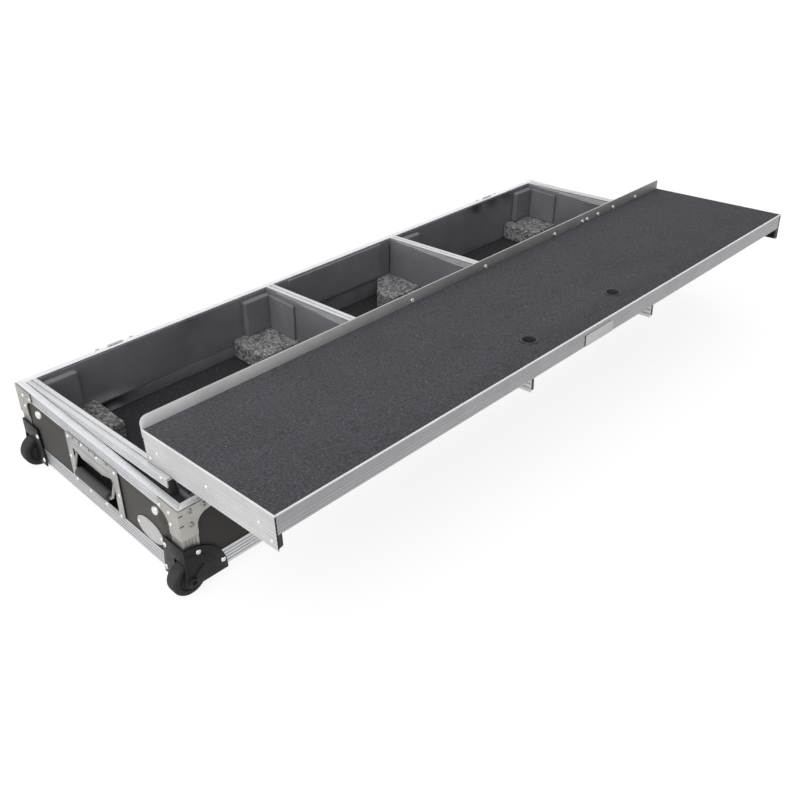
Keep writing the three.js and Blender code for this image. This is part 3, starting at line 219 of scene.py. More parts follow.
def worn_finish(name, colour, roughness, cloud_size, depth, grain_size, grain_depth, metallic=0.0, **fixed):
    finish, tree, shader, coordinates = new_finish(name, roughness, metallic, **fixed)
    worn = placed_effect(tree, cloudy_wear, Coordinates=coordinates, Cloud_Size=cloud_size, Depth=depth,
        Colour=(*colour, 1))
    tree.links.new(worn["Colour"], shader.inputs["Base Color"])
    duller = wire(tree, "ShaderNodeMapRange", {
        "Value": worn["Mask"], "To Min": roughness - 0.07, "To Max": roughness + 0.07,
    })
    tree.links.new(duller.outputs[0], shader.inputs["Roughness"])
    grain = wire(tree, "ShaderNodeTexNoise", {
        "Vector": coordinates, "Scale": 1 / grain_size, "Detail": 3.0, "Roughness": 0.6,
    })
    raise_relief(tree, shader, grain.outputs["Fac"], 0.5, grain_depth)
    return finish


laminate = worn_finish("dark_laminate", (0.104, 0.097, 0.090), 0.55, 0.11, 0.10, 0.0016, 0.00012,
    Specular_IOR_Level=0.12)
board_paint = worn_finish("dark_board", (0.045, 0.045, 0.047), 0.75, 0.05, 0.15, 0.003, 0.0002,
    Specular_IOR_Level=0.2)
nickel = worn_finish("nickel_plate", (0.80, 0.79, 0.77), 0.24, 0.006, 0.10, 0.004, 0.00003, metallic=1.0)

edge_rounding = 0.0002
sharp_turn = math.radians(40)


def finished(name, finish, body="case", rounding=edge_rounding, trimmed=None):
    mesh = nodes[name].data.copy()
    mesh.name = name + "_finished"
    shape = bmesh.new()
    shape.from_mesh(mesh)
    bmesh.ops.remove_doubles(shape, verts=shape.verts, dist=1e-6)
    bmesh.ops.dissolve_limit(shape, angle_limit=math.radians(0.5), verts=shape.verts, edges=shape.edges)
    if trimmed:
        for vert in shape.verts:
            vert.co = trimmed(vert.co)
    corners = [line for line in shape.edges
        if len(line.link_faces) == 2 and line.calc_face_angle() > sharp_turn]
    bmesh.ops.bevel(shape, geom=corners, offset=rounding, segments=2, profile=0.5, affect="EDGES",
        clamp_overlap=False)
    shape.to_mesh(mesh)
    shape.free()
    mesh.materials.clear()
    mesh.materials.append(finish)
    for face in mesh.polygons:
        face.use_smooth = True
    mesh.set_sharp_from_angle(angle=math.radians(38))
    piece = bpy.data.objects.new(name + "_finished", mesh)
    scene.collection.objects.link(piece)
    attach(piece, body)
    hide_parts(name)
    return piece


def second_finish(piece, finish, chosen):
    piece.data.materials.append(finish)
    place = len(piece.data.materials) - 1
    for face in piece.data.polygons:
        if chosen(face.center, face.normal):
            face.material_index = place


bolt_foot = half_length - panel_face + 0.0001
for name in ("left_end_panel", "right_end_panel"):
    wall = finished(name, laminate)
    second_finish(wall, nickel, lambda at, normal: abs(at.x) > bolt_foot)
for name in ("front_panel", "back_panel", "bottom_panel"):
    finished(name, laminate)


# The oval badge near the wheeled front corner is a thin silver plate with a raised rim, left bare. Two
# small rivets hold it to the laminate of the end wall. The band round its foot is darkened: painted shade.
badge_middle = (-0.1557, case_foot + 0.0545)
badge_half = (0.0366, 0.0212)
badge_thickness = 0.0016
badge_silver = worn_finish("badge_silver", (0.56, 0.54, 0.54), 0.38, 0.012, 0.12, 0.002, 0.00004,
    metallic=0.7)
# A near-black finish that is painted shade, laid where slots, recesses and raised edges would be in shadow.
recess_painted_shade = worn_finish("recess_painted_shade", (0.012, 0.012, 0.012), 0.8, 0.01, 0.1, 0.002, 0.00005,
    Specular_IOR_Level=0.1)


def linked_piece(name, mesh, body):
    piece = bpy.data.objects.new(name, mesh)
    scene.collection.objects.link(piece)
    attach(piece, body)
    return piece


def smoothed_mesh(name, shape, finishes, sharp=38):
    mesh = bpy.data.meshes.new(name)
    shape.to_mesh(mesh)
    shape.free()
    for finish in finishes:
        mesh.materials.append(finish)
    for face in mesh.polygons:
        face.use_smooth = True
    mesh.set_sharp_from_angle(angle=math.radians(sharp))
    return mesh


def turned(shape, profile, steps, placed):
    turns = [2 * math.pi * i / steps for i in range(steps)]
    return [[
        shape.verts.new(placed(radius, along, math.cos(turn), math.sin(turn)))
        for turn in (turns if radius else turns[:1])
    ] for radius, along in profile]


def lofted(shape, rings, closed=False):
    steps = max(len(ring) for ring in rings)
    for near, far in zip(rings, rings[1:] + rings[:1] if closed else rings[1:]):
        for i in range(steps):
            j = (i + 1) % steps
            if len(near) == 1:
                shape.faces.new((near[0], far[j], far[i]))
            elif len(far) == 1:
                shape.faces.new((near[i], near[j], far[0]))
            else:
                shape.faces.new((near[i], near[j], far[j], far[i]))


badge_steps = 64
badge_x = -half_length + panel_face
badge_rings = (
    (1.03, 0.0), (1.03, 0.25), (1.0, 0.3), (1.0, 0.7), (0.985, 0.95), (0.96, 1.0), (0.94, 0.95), (0.93, 0.7),
    (0.7, 0.78), (0.4, 0.84),
)
badge = bmesh.new()
badge_loops = turned(badge, badge_rings, badge_steps, lambda share, height_share, across, rise: (
    badge_x - badge_thickness * height_share,
    badge_middle[0] + badge_half[0] * share * across,
    badge_middle[1] + badge_half[1] * share * rise,
))
lofted(badge, badge_loops)
badge.faces.new(badge_loops[-1])
badge.faces.new(list(reversed(badge_loops[0])))
bmesh.ops.recalc_face_normals(badge, faces=badge.faces)
badge_piece = linked_piece("bare_oval_badge", smoothed_mesh("bare_oval_badge", badge, (badge_silver,)),
    "case")
# The band round the badge's foot takes the near-black finish: painted shade.
shaded_rim_share = 1.001
second_finish(badge_piece, recess_painted_shade, lambda at, normal: math.hypot(
    (at.y - badge_middle[0]) / badge_half[0], (at.z - badge_middle[1]) / badge_half[1]) > shaded_rim_share)
badge_rivet_reach = 0.0315
badge_rivet_level = 0.8
badge_rivets = [
    ((badge_x - badge_thickness * badge_rivet_level, badge_middle[0] + reach, badge_middle[1]), (-1, 0, 0))
    for reach in (-badge_rivet_reach, badge_rivet_reach)
]


# Aluminium edging: grooved extrusions, drawn lengthwise, mitred at the corners and riveted over the
# edges of the walls. The drawing leaves fine streaks along each length.
drawn_streaks, taken, given = effect("drawn streaks", (
    ("Coordinates", "Vector", None), ("Depth", "Float", 0.08), ("Colour", "Color", (1, 1, 1, 1)),
), (("Colour", "Color"), ("Mask", "Float")))
streak = wire(drawn_streaks, "ShaderNodeTexNoise", {
    "Vector": taken["Coordinates"], "Scale": 1.0, "Detail": 4.0, "Roughness": 0.7,
})
streak_mask = wire(drawn_streaks, "ShaderNodeMapRange", {
    "Value": streak.outputs["Fac"], "From Min": 0.28, "From Max": 0.72,
})
streaked = toned(drawn_streaks, taken["Colour"], streak_mask.outputs[0], taken["Depth"])
drawn_streaks.links.new(streaked, given["Colour"])
drawn_streaks.links.new(streak_mask.outputs[0], given["Mask"])

slope = math.radians(3.43)
streak_length = 0.22
streak_width = 0.0024
lengthwise = {
    "x": ((0, 0, 0), (streak_length, streak_width, streak_width)),
    "y": ((0, 0, 0), (streak_width, streak_length, streak_width)),
    "z": ((0, 0, 0), (streak_width, streak_width, streak_length)),
    "slope": ((-slope, 0, 0), (streak_width, streak_length, streak_width)),
}


def drawn_metal(name, colour, lie, roughness, metallic=0.9, depth=0.10, cloud_depth=0.06):
    finish, tree, shader, coordinates = new_finish(name, roughness, metallic)
    turn, sizes = lengthwise[lie]
    stretched = wire(tree, "ShaderNodeMapping", {"Vector": coordinates, "Rotation": turn, "Scale": sizes},
        vector_type="TEXTURE")
    worn = placed_effect(tree, cloudy_wear, Coordinates=coordinates, Cloud_Size=0.05, Depth=cloud_depth,
        Colour=(*colour, 1))
    drawn = placed_effect(tree, drawn_streaks, Coordinates=stretched.outputs[0], Depth=depth,
        Colour=worn["Colour"])
    tree.links.new(drawn["Colour"], shader.inputs["Base Color"])
    duller = wire(tree, "ShaderNodeMapRange", {
        "Value": drawn["Mask"], "To Min": roughness - 0.07, "To Max": roughness + 0.09,
    })
    tree.links.new(duller.outputs[0], shader.inputs["Roughness"])
    raise_relief(tree, shader, drawn["Mask"], 0.25, 0.0001)
    return finish


groove_depths = (0.00012, 0.00075)


def shade_grooves(piece, finish, ways):
    reaches = [(way, max(vert.co.dot(way) for vert in piece.data.vertices)) for way in ways]
    second_finish(piece, finish, lambda at, normal: any(
        groove_depths[0] < reach - at.dot(way) < groove_depths[1] for way, reach in reaches))


rim_colour = (0.60, 0.61, 0.63)
# Groove faces take a darker copy of the aluminium: painted shade in the grooves.
groove_shade_colour = (0.34, 0.345, 0.36)
# Faces that look up take a lighter copy of the aluminium: painted light on the rim tops.
rim_lit_top_colour = (0.90, 0.91, 0.93)
facing_up = 0.9
outward_ways = {
    "front": Vector((0, -1, 0)), "back": Vector((0, 1, 0)),
    "left": Vector((-1, 0, 0)), "right": Vector((1, 0, 0)),
}
for lie, sides in (("x", ("front", "back")), ("y", ("left", "right"))):
    rim_metal = drawn_metal(f"rim_aluminium_{lie}", rim_colour, lie, 0.36)
    groove_shade_metal = drawn_metal(f"groove_shade_aluminium_{lie}", groove_shade_colour, lie, 0.5)
    rim_lit_top_metal = drawn_metal(f"rim_lit_top_aluminium_{lie}", rim_lit_top_colour, lie, 0.5, metallic=0.6)
    for side in sides:
        rim = finished(f"{side}_rim", rim_metal)
        shade_grooves(rim, groove_shade_metal, (outward_ways[side],))
        second_finish(rim, rim_lit_top_metal, lambda at, normal: normal.z > facing_up)
        angle_bar = finished(f"{side}_bottom_angle", rim_metal)
        shade_grooves(angle_bar, groove_shade_metal, (outward_ways[side],))


# Corner posts: ridged aluminium angles with pressed, zinc-plated corner plates riveted over them, and
# ball corners at the foot of the plain end.
zinc = drawn_metal("zinc_plate", (0.44, 0.425, 0.395), "z", 0.42, depth=0.06, cloud_depth=0.14)
zinc_groove_shade = drawn_metal("zinc_groove_shade", (0.37, 0.36, 0.33), "z", 0.5)
plate_proud = 0.0018
for side in ("front", "back"):
    for end in ("left", "right"):
        post = finished(f"{side}_{end}_corner_post", zinc)
        # Groove faces take the darker copy of the zinc: painted shade.
        second_finish(post, zinc_groove_shade, lambda at, normal: (
            groove_depths[0] < half_length - abs(at.x) < groove_depths[1]
            or groove_depths[0] < half_depth - abs(at.y) < groove_depths[1]))


# Fasteners: domed rivets of nickelled steel and cross-headed screws. Each stands at a point that carries
# the way it faces, and is turned by a little chance about its own axis.
def turned_head(name, profile, steps):
    shape = bmesh.new()
    lofted(shape, turned(shape, profile, steps, lambda radius, height, across, along: (
        radius * across, radius * along, height)))
    bmesh.ops.recalc_face_normals(shape, faces=shape.faces)
    head = bpy.data.objects.new(name, smoothed_mesh(name, shape, (), sharp=50))
    scene.collection.objects.link(head)
    return head


def settled_mesh(carrier):
    settled = bpy.data.meshes.new_from_object(carrier.evaluated_get(bpy.context.evaluated_depsgraph_get()))
    carrier.modifiers.clear()
    return settled


def made_by(group, name, mesh, values):
    carrier = bpy.data.objects.new(name, mesh)
    scene.collection.objects.link(carrier)
    modifier = carrier.modifiers.new(group.name, "NODES")
    modifier.node_group = group
    for label, value in values.items():
        modifier[group.interface.items_tree[label].identifier] = value
    made = settled_mesh(carrier)
    bpy.data.objects.remove(carrier)
    return made


rivet_radius = 0.0034
rivet_height = 0.0017
rivet_rim = 0.0001
head_sink = -0.0008
rivet_head = turned_head("rivet_head", (
    (0, head_sink), (rivet_radius, head_sink), (rivet_radius, rivet_rim),
    (rivet_radius * 0.88, rivet_height * 0.55), (rivet_radius * 0.6, rivet_height * 0.88),
    (rivet_radius * 0.3, rivet_height * 0.98), (0, rivet_height),
), 14)
screw_radius = 0.0046
screw_height = 0.0019
screw_rim = 0.0003
screw_head = turned_head("screw_head", (
    (0, head_sink), (screw_radius, head_sink), (screw_radius, screw_rim),
    (screw_radius * 0.9, screw_height * 0.7), (screw_radius * 0.62, screw_height * 0.95), (0, screw_height),
), 20)
cross_reach = screw_radius * 0.72
cross_half = screw_radius * 0.2
cross_floor = screw_height * 0.35
cross = bmesh.new()
cross_outline = []
for quarter in range(4):
    turn = Matrix.Rotation(quarter * math.pi / 2, 3, "Z")
    for corner in ((cross_half, cross_half), (cross_reach, cross_half), (cross_reach, -cross_half)):
        cross_outline.append(turn @ Vector((corner[0], corner[1], 0)))
cross_outline.sort(key=lambda at: math.atan2(at.y, at.x))
cross_face = cross.faces.new([cross.verts.new((at.x, at.y, cross_floor)) for at in cross_outline])
cross_lift = bmesh.ops.extrude_face_region(cross, geom=[cross_face])
bmesh.ops.translate(cross, vec=(0, 0, screw_height), verts=[
    part for part in cross_lift["geom"] if isinstance(part, bmesh.types.BMVert)])
bmesh.ops.recalc_face_normals(cross, faces=cross.faces)
cross_mesh = bpy.data.meshes.new("cross_recess")
cross.to_mesh(cross_mesh)
cross.free()
cross_tool = bpy.data.objects.new("cross_recess", cross_mesh)
scene.collection.objects.link(cross_tool)
recess = screw_head.modifiers.new("recess", "BOOLEAN")
recess.object = cross_tool
recess.operation = "DIFFERENCE"
screw_head.data = settled_mesh(screw_head)
bpy.data.objects.remove(cross_tool)

fastening, fastening_in, fastening_out = effect("fastening", (
    ("Points", "Geometry", None), ("Head", "Object", None), ("Finish", "Material", None),
    ("Chance", "Int", None),
), (("Fasteners", "Geometry"),), "GeometryNodeTree")
facing = wire(fastening, "GeometryNodeInputNamedAttribute", {"Name": "outward"}, data_type="FLOAT_VECTOR")
aligned = wire(fastening, "FunctionNodeAlignRotationToVector", {"Vector": facing.outputs[0]}, axis="Z")
chance_turn = wire(fastening, "FunctionNodeRandomValue", {
    2: 0.0, 3: 2 * math.pi, "Seed": fastening_in["Chance"],
}, data_type="FLOAT")
own_turn = wire(fastening, "FunctionNodeAxisAngleToRotation", {
    "Axis": (0, 0, 1), "Angle": chance_turn.outputs[1],
})
turned_way = wire(fastening, "FunctionNodeRotateRotation", {
    "Rotation": aligned.outputs[0], "Rotate By": own_turn.outputs[0],
}, rotation_space="LOCAL")
head_shape = wire(fastening, "GeometryNodeObjectInfo", {"Object": fastening_in["Head"]})
stood = wire(fastening, "GeometryNodeInstanceOnPoints", {
    "Points": fastening_in["Points"], "Instance": head_shape.outputs["Geometry"],
    "Rotation": turned_way.outputs[0],
})
made_real = wire(fastening, "GeometryNodeRealizeInstances", {"Geometry": stood.outputs[0]})
given_finish = wire(fastening, "GeometryNodeSetMaterial", {
    "Geometry": made_real.outputs[0], "Material": fastening_in["Finish"],
})
fastening.links.new(given_finish.outputs[0], fastening_out["Fasteners"])


def fasteners(name, places, head, finish, body, chance):
    mesh = bpy.data.meshes.new(name + "_points")
    mesh.from_pydata([at for at, outward in places], [], [])
    facing_data = mesh.attributes.new("outward", "FLOAT_VECTOR", "POINT")
    for i, (at, outward) in enumerate(places):
        facing_data.data[i].vector = outward
    shown = made_by(fastening, name + "_points", mesh, {"Head": head, "Finish": finish, "Chance": chance})
    return linked_piece(name, shown, body)


screw_steel = worn_finish("screw_steel", (0.36, 0.345, 0.33), 0.3, 0.003, 0.3, 0.002, 0.00004, metallic=0.9)
screw_spots = ((0.0182, 0.1386), (0.0435, 0.1379), (0.0184, 0.1126))
rivet_spots = ((0.048, 0.134), (0.0236, 0.1326), (0.0233, 0.1106))
long_side_screws = []
end_side_rivets = []
for end in (-1, 1):
    for side in (-1, 1):
        for inset, height in screw_spots:
            at = (end * (half_length - inset), side * (half_depth + plate_proud), case_foot + height)
            long_side_screws.append((at, (0, side, 0)))
        for inset, height in rivet_spots:
            at = (end * (half_length + plate_proud), side * (half_depth - inset), case_foot + height)
            end_side_rivets.append((at, (end, 0, 0)))
fasteners("corner_plate_screws", long_side_screws, screw_head, screw_steel, "case", 3)
fasteners("corner_plate_rivets", end_side_rivets + badge_rivets, rivet_head, nickel, "case",
    4)


# Each slot is a dark box set into the plate face: painted shade where the opening would be.
def shade_painted_slots(name, boxes, body):
    shape = bmesh.new()
    for low, high in boxes:
        corner_verts = bmesh.ops.create_cube(shape, size=1.0)["verts"]
        bmesh.ops.scale(shape, vec=Vector(high) - Vector(low), verts=corner_verts)
        bmesh.ops.translate(shape, vec=(Vector(high) + Vector(low)) / 2, verts=corner_verts)
    return linked_piece(name, smoothed_mesh(name, shape, (recess_painted_shade,)), body)


slot_proud = 0.0001
plate_slot_reach = 0.0061
plate_slot_half = 0.0009
plate_slot_sink = 0.001
plate_slots = []
for end in (-1, 1):
    for side in (-1, 1):
        for height in (0.1372, 0.1178):
            x_ends = (end * (half_length + plate_proud - slot_proud), end * (half_length - plate_slot_reach))
            y_ends = (side * (half_depth + plate_slot_sink), side * (half_depth + plate_proud + slot_proud))
            level = case_foot + height
            plate_slots.append(((min(x_ends), min(y_ends), level - plate_slot_half),
                (max(x_ends), max(y_ends), level + plate_slot_half)))
shade_painted_slots("corner_plate_slots", plate_slots, "case")


# Wheel brackets: heavy pressed steel, painted black, that wraps the lower corners of the wheeled end.
# The wheels are moulded black rubber on a thick axle bolt.
black_paint = worn_finish("black_paint", (0.018, 0.018, 0.019), 0.42, 0.02, 0.25, 0.0012, 0.0001,
    Specular_IOR_Level=0.2)
tyre_rubber = worn_finish("tyre_rubber", (0.050, 0.049, 0.051), 0.62, 0.012, 0.25, 0.0009, 0.00015,
    Specular_IOR_Level=0.2)
flange_corner = (0.055, 0.050)
flange_trim = 0.008


def trimmed_flange(at):
    if half_depth - abs(at.y) > flange_corner[0] and at.z - case_foot > flange_corner[1]:
        return at + Vector((0, math.copysign(flange_trim, at.y), 0))
    return at


bracket_face = 0.0033
bracket_spots = ((0.0222, 0.0576), (0.064, 0.0156))
flange_spots = ((0.0485, 0.056), (0.054, 0.0076))
bracket_screws = []
for side, side_name in ((-1, "front"), (1, "back")):
    finished(f"{side_name}_wheel_bracket", black_paint, rounding=0.0004,
        trimmed=trimmed_flange)
    for inset, height in bracket_spots:
        at = (-half_length + inset, side * (half_depth + bracket_face), case_foot + height)
        bracket_screws.append((at, (0, side, 0)))
    for inset, height in flange_spots:
        at = (-half_length - bracket_face, side * (half_depth - inset), case_foot + height)
        bracket_screws.append((at, (-1, 0, 0)))
fasteners("wheel_bracket_screws", bracket_screws, screw_head, nickel, "case", 5)

wheel_steps = 72
wheel_profile = (
    (0.0054, 0.0016), (0.0098, 0.0016), (0.0100, 0.0019), (0.0101, 0.0052), (0.0106, 0.0056),
    (0.0192, 0.0056), (0.0198, 0.0051), (0.0200, 0.0024), (0.0206, 0.0016), (0.0252, 0.0015),
    (0.0272, 0.0019), (0.0291, 0.0032), (0.0301, 0.0049), (0.0305, 0.0072), (0.0305, 0.0198),
    (0.0301, 0.0221), (0.0291, 0.0238), (0.0272, 0.0251), (0.0252, 0.0255), (0.0206, 0.0254),
    (0.0200, 0.0246), (0.0198, 0.0219), (0.0192, 0.0214), (0.0106, 0.0214), (0.0101, 0.0218),
    (0.0100, 0.0251), (0.0098, 0.0254), (0.0054, 0.0254),
)
for side, side_name in ((-1, "front"), (1, "back")):
    low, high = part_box(f"{side_name}_wheel")
    axle_x = (low.x + high.x) / 2
    axle_z = (low.z + high.z) / 2
    shape = bmesh.new()
    lofted(shape, turned(shape, wheel_profile, wheel_steps, lambda radius, inset, ahead, rise: (
        axle_x + radius * ahead, side * (half_depth - inset), axle_z + radius * rise,
    )), closed=True)
    bmesh.ops.recalc_face_normals(shape, faces=shape.faces)
    tyre = linked_piece(f"{side_name}_wheel_moulded",
        smoothed_mesh(f"{side_name}_wheel_moulded", shape, (tyre_rubber,), sharp=45),
        f"{side_name}_wheel")
    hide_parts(f"{side_name}_wheel")
for name in ("front_foot", "back_foot"):
    finished(name, tyre_rubber, rounding=0.0006)


# Recessed handles: a zinc dish plate riveted into each end, a sprung wire bail and a thick rubber grip.
handle_face = half_length + 0.0018
dish_zinc = drawn_metal("dish_zinc", (0.45, 0.447, 0.437), "y", 0.40, depth=0.07, cloud_depth=0.14)
bright_steel = worn_finish("bright_wire", (0.66, 0.66, 0.67), 0.26, 0.02, 0.10, 0.003, 0.00003, metallic=1.0)
bail_steel = worn_finish("dull_wire", (0.38, 0.38, 0.36), 0.42, 0.012, 0.16, 0.003, 0.00004, metallic=0.8)
grip_rubber = worn_finish("grip_rubber", (0.086, 0.084, 0.084), 0.55, 0.018, 0.16, 0.0011, 0.0001,
    Specular_IOR_Level=0.25)
dish_rivets = (
    (0.0725, 0.1215), (0.0275, 0.1257), (-0.0198, 0.1235), (-0.0725, 0.1215), (0.0760, 0.0790),
    (-0.0760, 0.0790), (0.0700, 0.0333), (0.0250, 0.0325), (-0.0250, 0.0325), (-0.0700, 0.0333),
)
dish_slots = (
    (0.0557, 0.1239, 0.1275), (0.0339, 0.1210, 0.1289), (0.0020, 0.1253, 0.1289), (-0.0167, 0.1210, 0.1289),
    (-0.0509, 0.1254, 0.1290),
)
slot_half = 0.0015
slot_sink = 0.0004
pan_face = half_length - 0.0005
grip_steps = 40
grip_profile = (
    (0.40, -1.0), (0.72, -1.0), (0.88, -0.985), (0.97, -0.955), (1.0, -0.92), (0.99, -0.45), (0.99, 0.45),
    (1.0, 0.92), (0.97, 0.955), (0.88, 0.985), (0.72, 1.0), (0.40, 1.0),
)
handle_rivets = []
handle_slots = []
for end, side_name in ((-1, "left"), (1, "right")):
    dish = finished(f"{side_name}_handle_dish", dish_zinc)
    # The dish's recessed pan takes the near-black finish inside: painted shade in the recess.
    second_finish(dish, recess_painted_shade, lambda at, normal: abs(at.x) < pan_face)
    finished(f"{side_name}_handle_bail", bail_steel, f"{side_name}_handle", rounding=0.0001)
    for y, height in dish_rivets:
        handle_rivets.append(((end * handle_face, y, case_foot + height), (end, 0, 0)))
    for y, low, high in dish_slots:
        x_low, x_high = sorted((end * (handle_face - slot_sink), end * (handle_face + slot_proud)))
        handle_slots.append(((x_low, y - slot_half, case_foot + low),
            (x_high, y + slot_half, case_foot + high)))
    low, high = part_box(f"{side_name}_handle_grip")
    grip_middle = (low + high) / 2
    grip_radius = (high.z - low.z) / 2
    grip_half = (high.y - low.y) / 2
    sized_profile = [(grip_radius * share, grip_half * along) for share, along in grip_profile]
    shape = bmesh.new()
    lofted(shape, turned(shape, sized_profile, grip_steps, lambda radius, along, out, rise: (
        grip_middle.x + radius * out, grip_middle.y + along, grip_middle.z + radius * rise,
    )), closed=True)
    bmesh.ops.recalc_face_normals(shape, faces=shape.faces)
    grip = linked_piece(f"{side_name}_grip_moulded",
        smoothed_mesh(f"{side_name}_grip_moulded", shape, (grip_rubber,), sharp=50),
        f"{side_name}_handle")
    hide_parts(f"{side_name}_handle_grip")
fasteners("handle_rivets", handle_rivets, rivet_head, nickel, "case", 6)
shade_painted_slots("handle_slots", handle_slots, "case")


# Twist latches: a dished plate in the front and back walls, a thumb knob with a round cam and the hook
# that it lifts. The plates are riveted at their corners.
latch_zinc = drawn_metal("latch_zinc", (0.54, 0.535, 0.52), "x", 0.38, depth=0.07, cloud_depth=0.12)
latch_rivets = []
latch_rivet_reach = 0.042
latch_rivet_heights = (0.0345, 0.1150)
for side, side_name in ((-1, "front"), (1, "back")):
    for end_name in ("left", "right"):
        latch = f"{side_name}_{end_name}"
        finished(f"{latch}_latch_dish", latch_zinc)
        finished(f"{latch}_latch_knob", bright_steel, f"{latch}_knob")
        finished(f"{latch}_latch_hook", bright_steel, f"{latch}_hook")
        low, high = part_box(f"{latch}_latch_dish")
        middle = (low.x + high.x) / 2
        for across in (-latch_rivet_reach, latch_rivet_reach):
            for height in latch_rivet_heights:
                at = (middle + across, side * (half_depth + plate_proud), case_foot + height)
                latch_rivets.append((at, (0, side, 0)))
fasteners("latch_rivets", latch_rivets, rivet_head, nickel, "case", 7)


# Boards that carry the outer rails and divide the bays, and the sloped aluminium rails that straddle
# them, each with a running groove along its crown.
rail_metal = drawn_metal("rail_aluminium", (0.74, 0.75, 0.765), "slope", 0.4, metallic=0.6)
# Groove faces take a darker copy of the rail aluminium: painted shade.
rail_groove_shade = drawn_metal("rail_groove_shade", (0.60, 0.61, 0.625), "slope", 0.45, metallic=0.6)
for name in ("left_support_wall", "left_divider", "right_divider", "right_support_wall"):
    finished(name, board_paint)
for name in ("left_rail", "left_divider_rail", "right_divider_rail", "right_rail"):
    rail = finished(name, rail_metal)
    shade_grooves(rail, rail_groove_shade, (outward_ways["left"], outward_ways["right"]))
rail_low, rail_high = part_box("left_rail")
rivet_y = -0.1921
rivet_drop = 0.0051
rail_crown = rail_high.z - math.tan(slope) * (rivet_y - rail_low.y)
rail_rivets = [((rail_low.x, rivet_y, rail_crown - rivet_drop), (-1, 0, 0))]
fasteners("rail_rivets", rail_rivets, rivet_head, nickel, "case", 8)


# Foam lining: dark closed-cell sheet on the floor and walls of each bay, smooth pads in the corners and
# blocks of coarse bead foam under them, all glued in.
bead_foam, taken, given = effect("bead foam", (
    ("Coordinates", "Vector", None), ("Bead Size", "Float", 0.005), ("Dark", "Color", (0, 0, 0, 1)),
    ("Light", "Color", (1, 1, 1, 1)),
), (("Colour", "Color"), ("Height", "Float")))
bead_scale = wire(bead_foam, "ShaderNodeMath", {0: 1.0, 1: taken["Bead Size"]}, operation="DIVIDE")
bead = wire(bead_foam, "ShaderNodeTexVoronoi", {
    "Vector": taken["Coordinates"], "Scale": bead_scale.outputs[0],
}, feature="F1")
crevice = wire(bead_foam, "ShaderNodeTexVoronoi", {
    "Vector": taken["Coordinates"], "Scale": bead_scale.outputs[0],
}, feature="DISTANCE_TO_EDGE")
bead_tone = wire(bead_foam, "ShaderNodeSeparateColor", {"Color": bead.outputs["Color"]})
bead_colour = wire(bead_foam, "ShaderNodeMix", {0: bead_tone.outputs[0], 6: taken["Dark"], 7: taken["Light"]},
    data_type="RGBA")
bead_swell = wire(bead_foam, "ShaderNodeMapRange", {"Value": crevice.outputs["Distance"], "From Max": 0.18})
# Each bead darkens towards the crevices round it: painted shade, alongside the bump.
crevice_painted_shade = wire(bead_foam, "ShaderNodeMapRange", {"Value": bead_swell.outputs[0], "To Min": 0.45})
bead_final = wire(bead_foam, "ShaderNodeVectorMath", {
    0: bead_colour.outputs[2], "Scale": crevice_painted_shade.outputs[0],
}, operation="SCALE")
bead_foam.links.new(bead_final.outputs[0], given["Colour"])
bead_foam.links.new(bead_swell.outputs[0], given["Height"])

pale_specks, taken, given = effect("pale specks", (
    ("Coordinates", "Vector", None), ("Speck Size", "Float", 0.002), ("Share", "Float", 0.2),
    ("Ground", "Color", (0, 0, 0, 1)), ("Speck", "Color", (1, 1, 1, 1)),
), (("Colour", "Color"), ("Mask", "Float")))
speck_scale = wire(pale_specks, "ShaderNodeMath", {0: 1.0, 1: taken["Speck Size"]}, operation="DIVIDE")
speck_cell = wire(pale_specks, "ShaderNodeTexVoronoi", {
    "Vector": taken["Coordinates"], "Scale": speck_scale.outputs[0],
}, feature="F1")
speck_chance = wire(pale_specks, "ShaderNodeSeparateColor", {"Color": speck_cell.outputs["Color"]})
speck_picked = wire(pale_specks, "ShaderNodeMath", {
    0: speck_chance.outputs[0], 1: taken["Share"],
}, operation="LESS_THAN")
speck_near = wire(pale_specks, "ShaderNodeMapRange", {
    "Value": speck_cell.outputs["Distance"], "From Min": 0.25, "From Max": 0.5, "To Min": 1.0, "To Max": 0.0,
})
speck_mask = wire(pale_specks, "ShaderNodeMath", {
    0: speck_picked.outputs[0], 1: speck_near.outputs[0],
}, operation="MULTIPLY")
speck_colour = wire(pale_specks, "ShaderNodeMix", {
    0: speck_mask.outputs[0], 6: taken["Ground"], 7: taken["Speck"],
}, data_type="RGBA")
pale_specks.links.new(speck_colour.outputs[2], given["Colour"])
pale_specks.links.new(speck_mask.outputs[0], given["Mask"])


def bead_finish(name, dark, light):
    finish, tree, shader, coordinates = new_finish(name, 0.85)
    beads = placed_effect(tree, bead_foam, Coordinates=coordinates, Bead_Size=0.0052, Dark=(*dark, 1),
        Light=(*light, 1))
    tree.links.new(beads["Colour"], shader.inputs["Base Color"])
    raise_relief(tree, shader, beads["Height"], 0.7, 0.0009)
    return finish


# Sheet and pad foam are written lighter than the foam itself: painted light standing in for light the bays
# lack.
sheet_foam = worn_finish("sheet_foam", (0.185, 0.182, 0.204), 0.66, 0.09, 0.16, 0.0016, 0.00015)
pad_foam = worn_finish("pad_foam", (0.195, 0.192, 0.212), 0.64, 0.05, 0.12, 0.0014, 0.00014)
block_foam = bead_finish("bead_foam_grey", (0.12, 0.117, 0.122), (0.56, 0.545, 0.555))
floor_foam, floor_tree, floor_shader, floor_coordinates = new_finish("floor_foam", 0.9)
floor_specks = placed_effect(floor_tree, pale_specks, Coordinates=floor_coordinates, Speck_Size=0.0035,
    Share=0.16, Ground=(0.026, 0.026, 0.029, 1), Speck=(0.085, 0.085, 0.09, 1))
floor_tree.links.new(floor_specks["Colour"], floor_shader.inputs["Base Color"])
raise_relief(floor_tree, floor_shader, floor_specks["Mask"], 0.4, 0.0006)


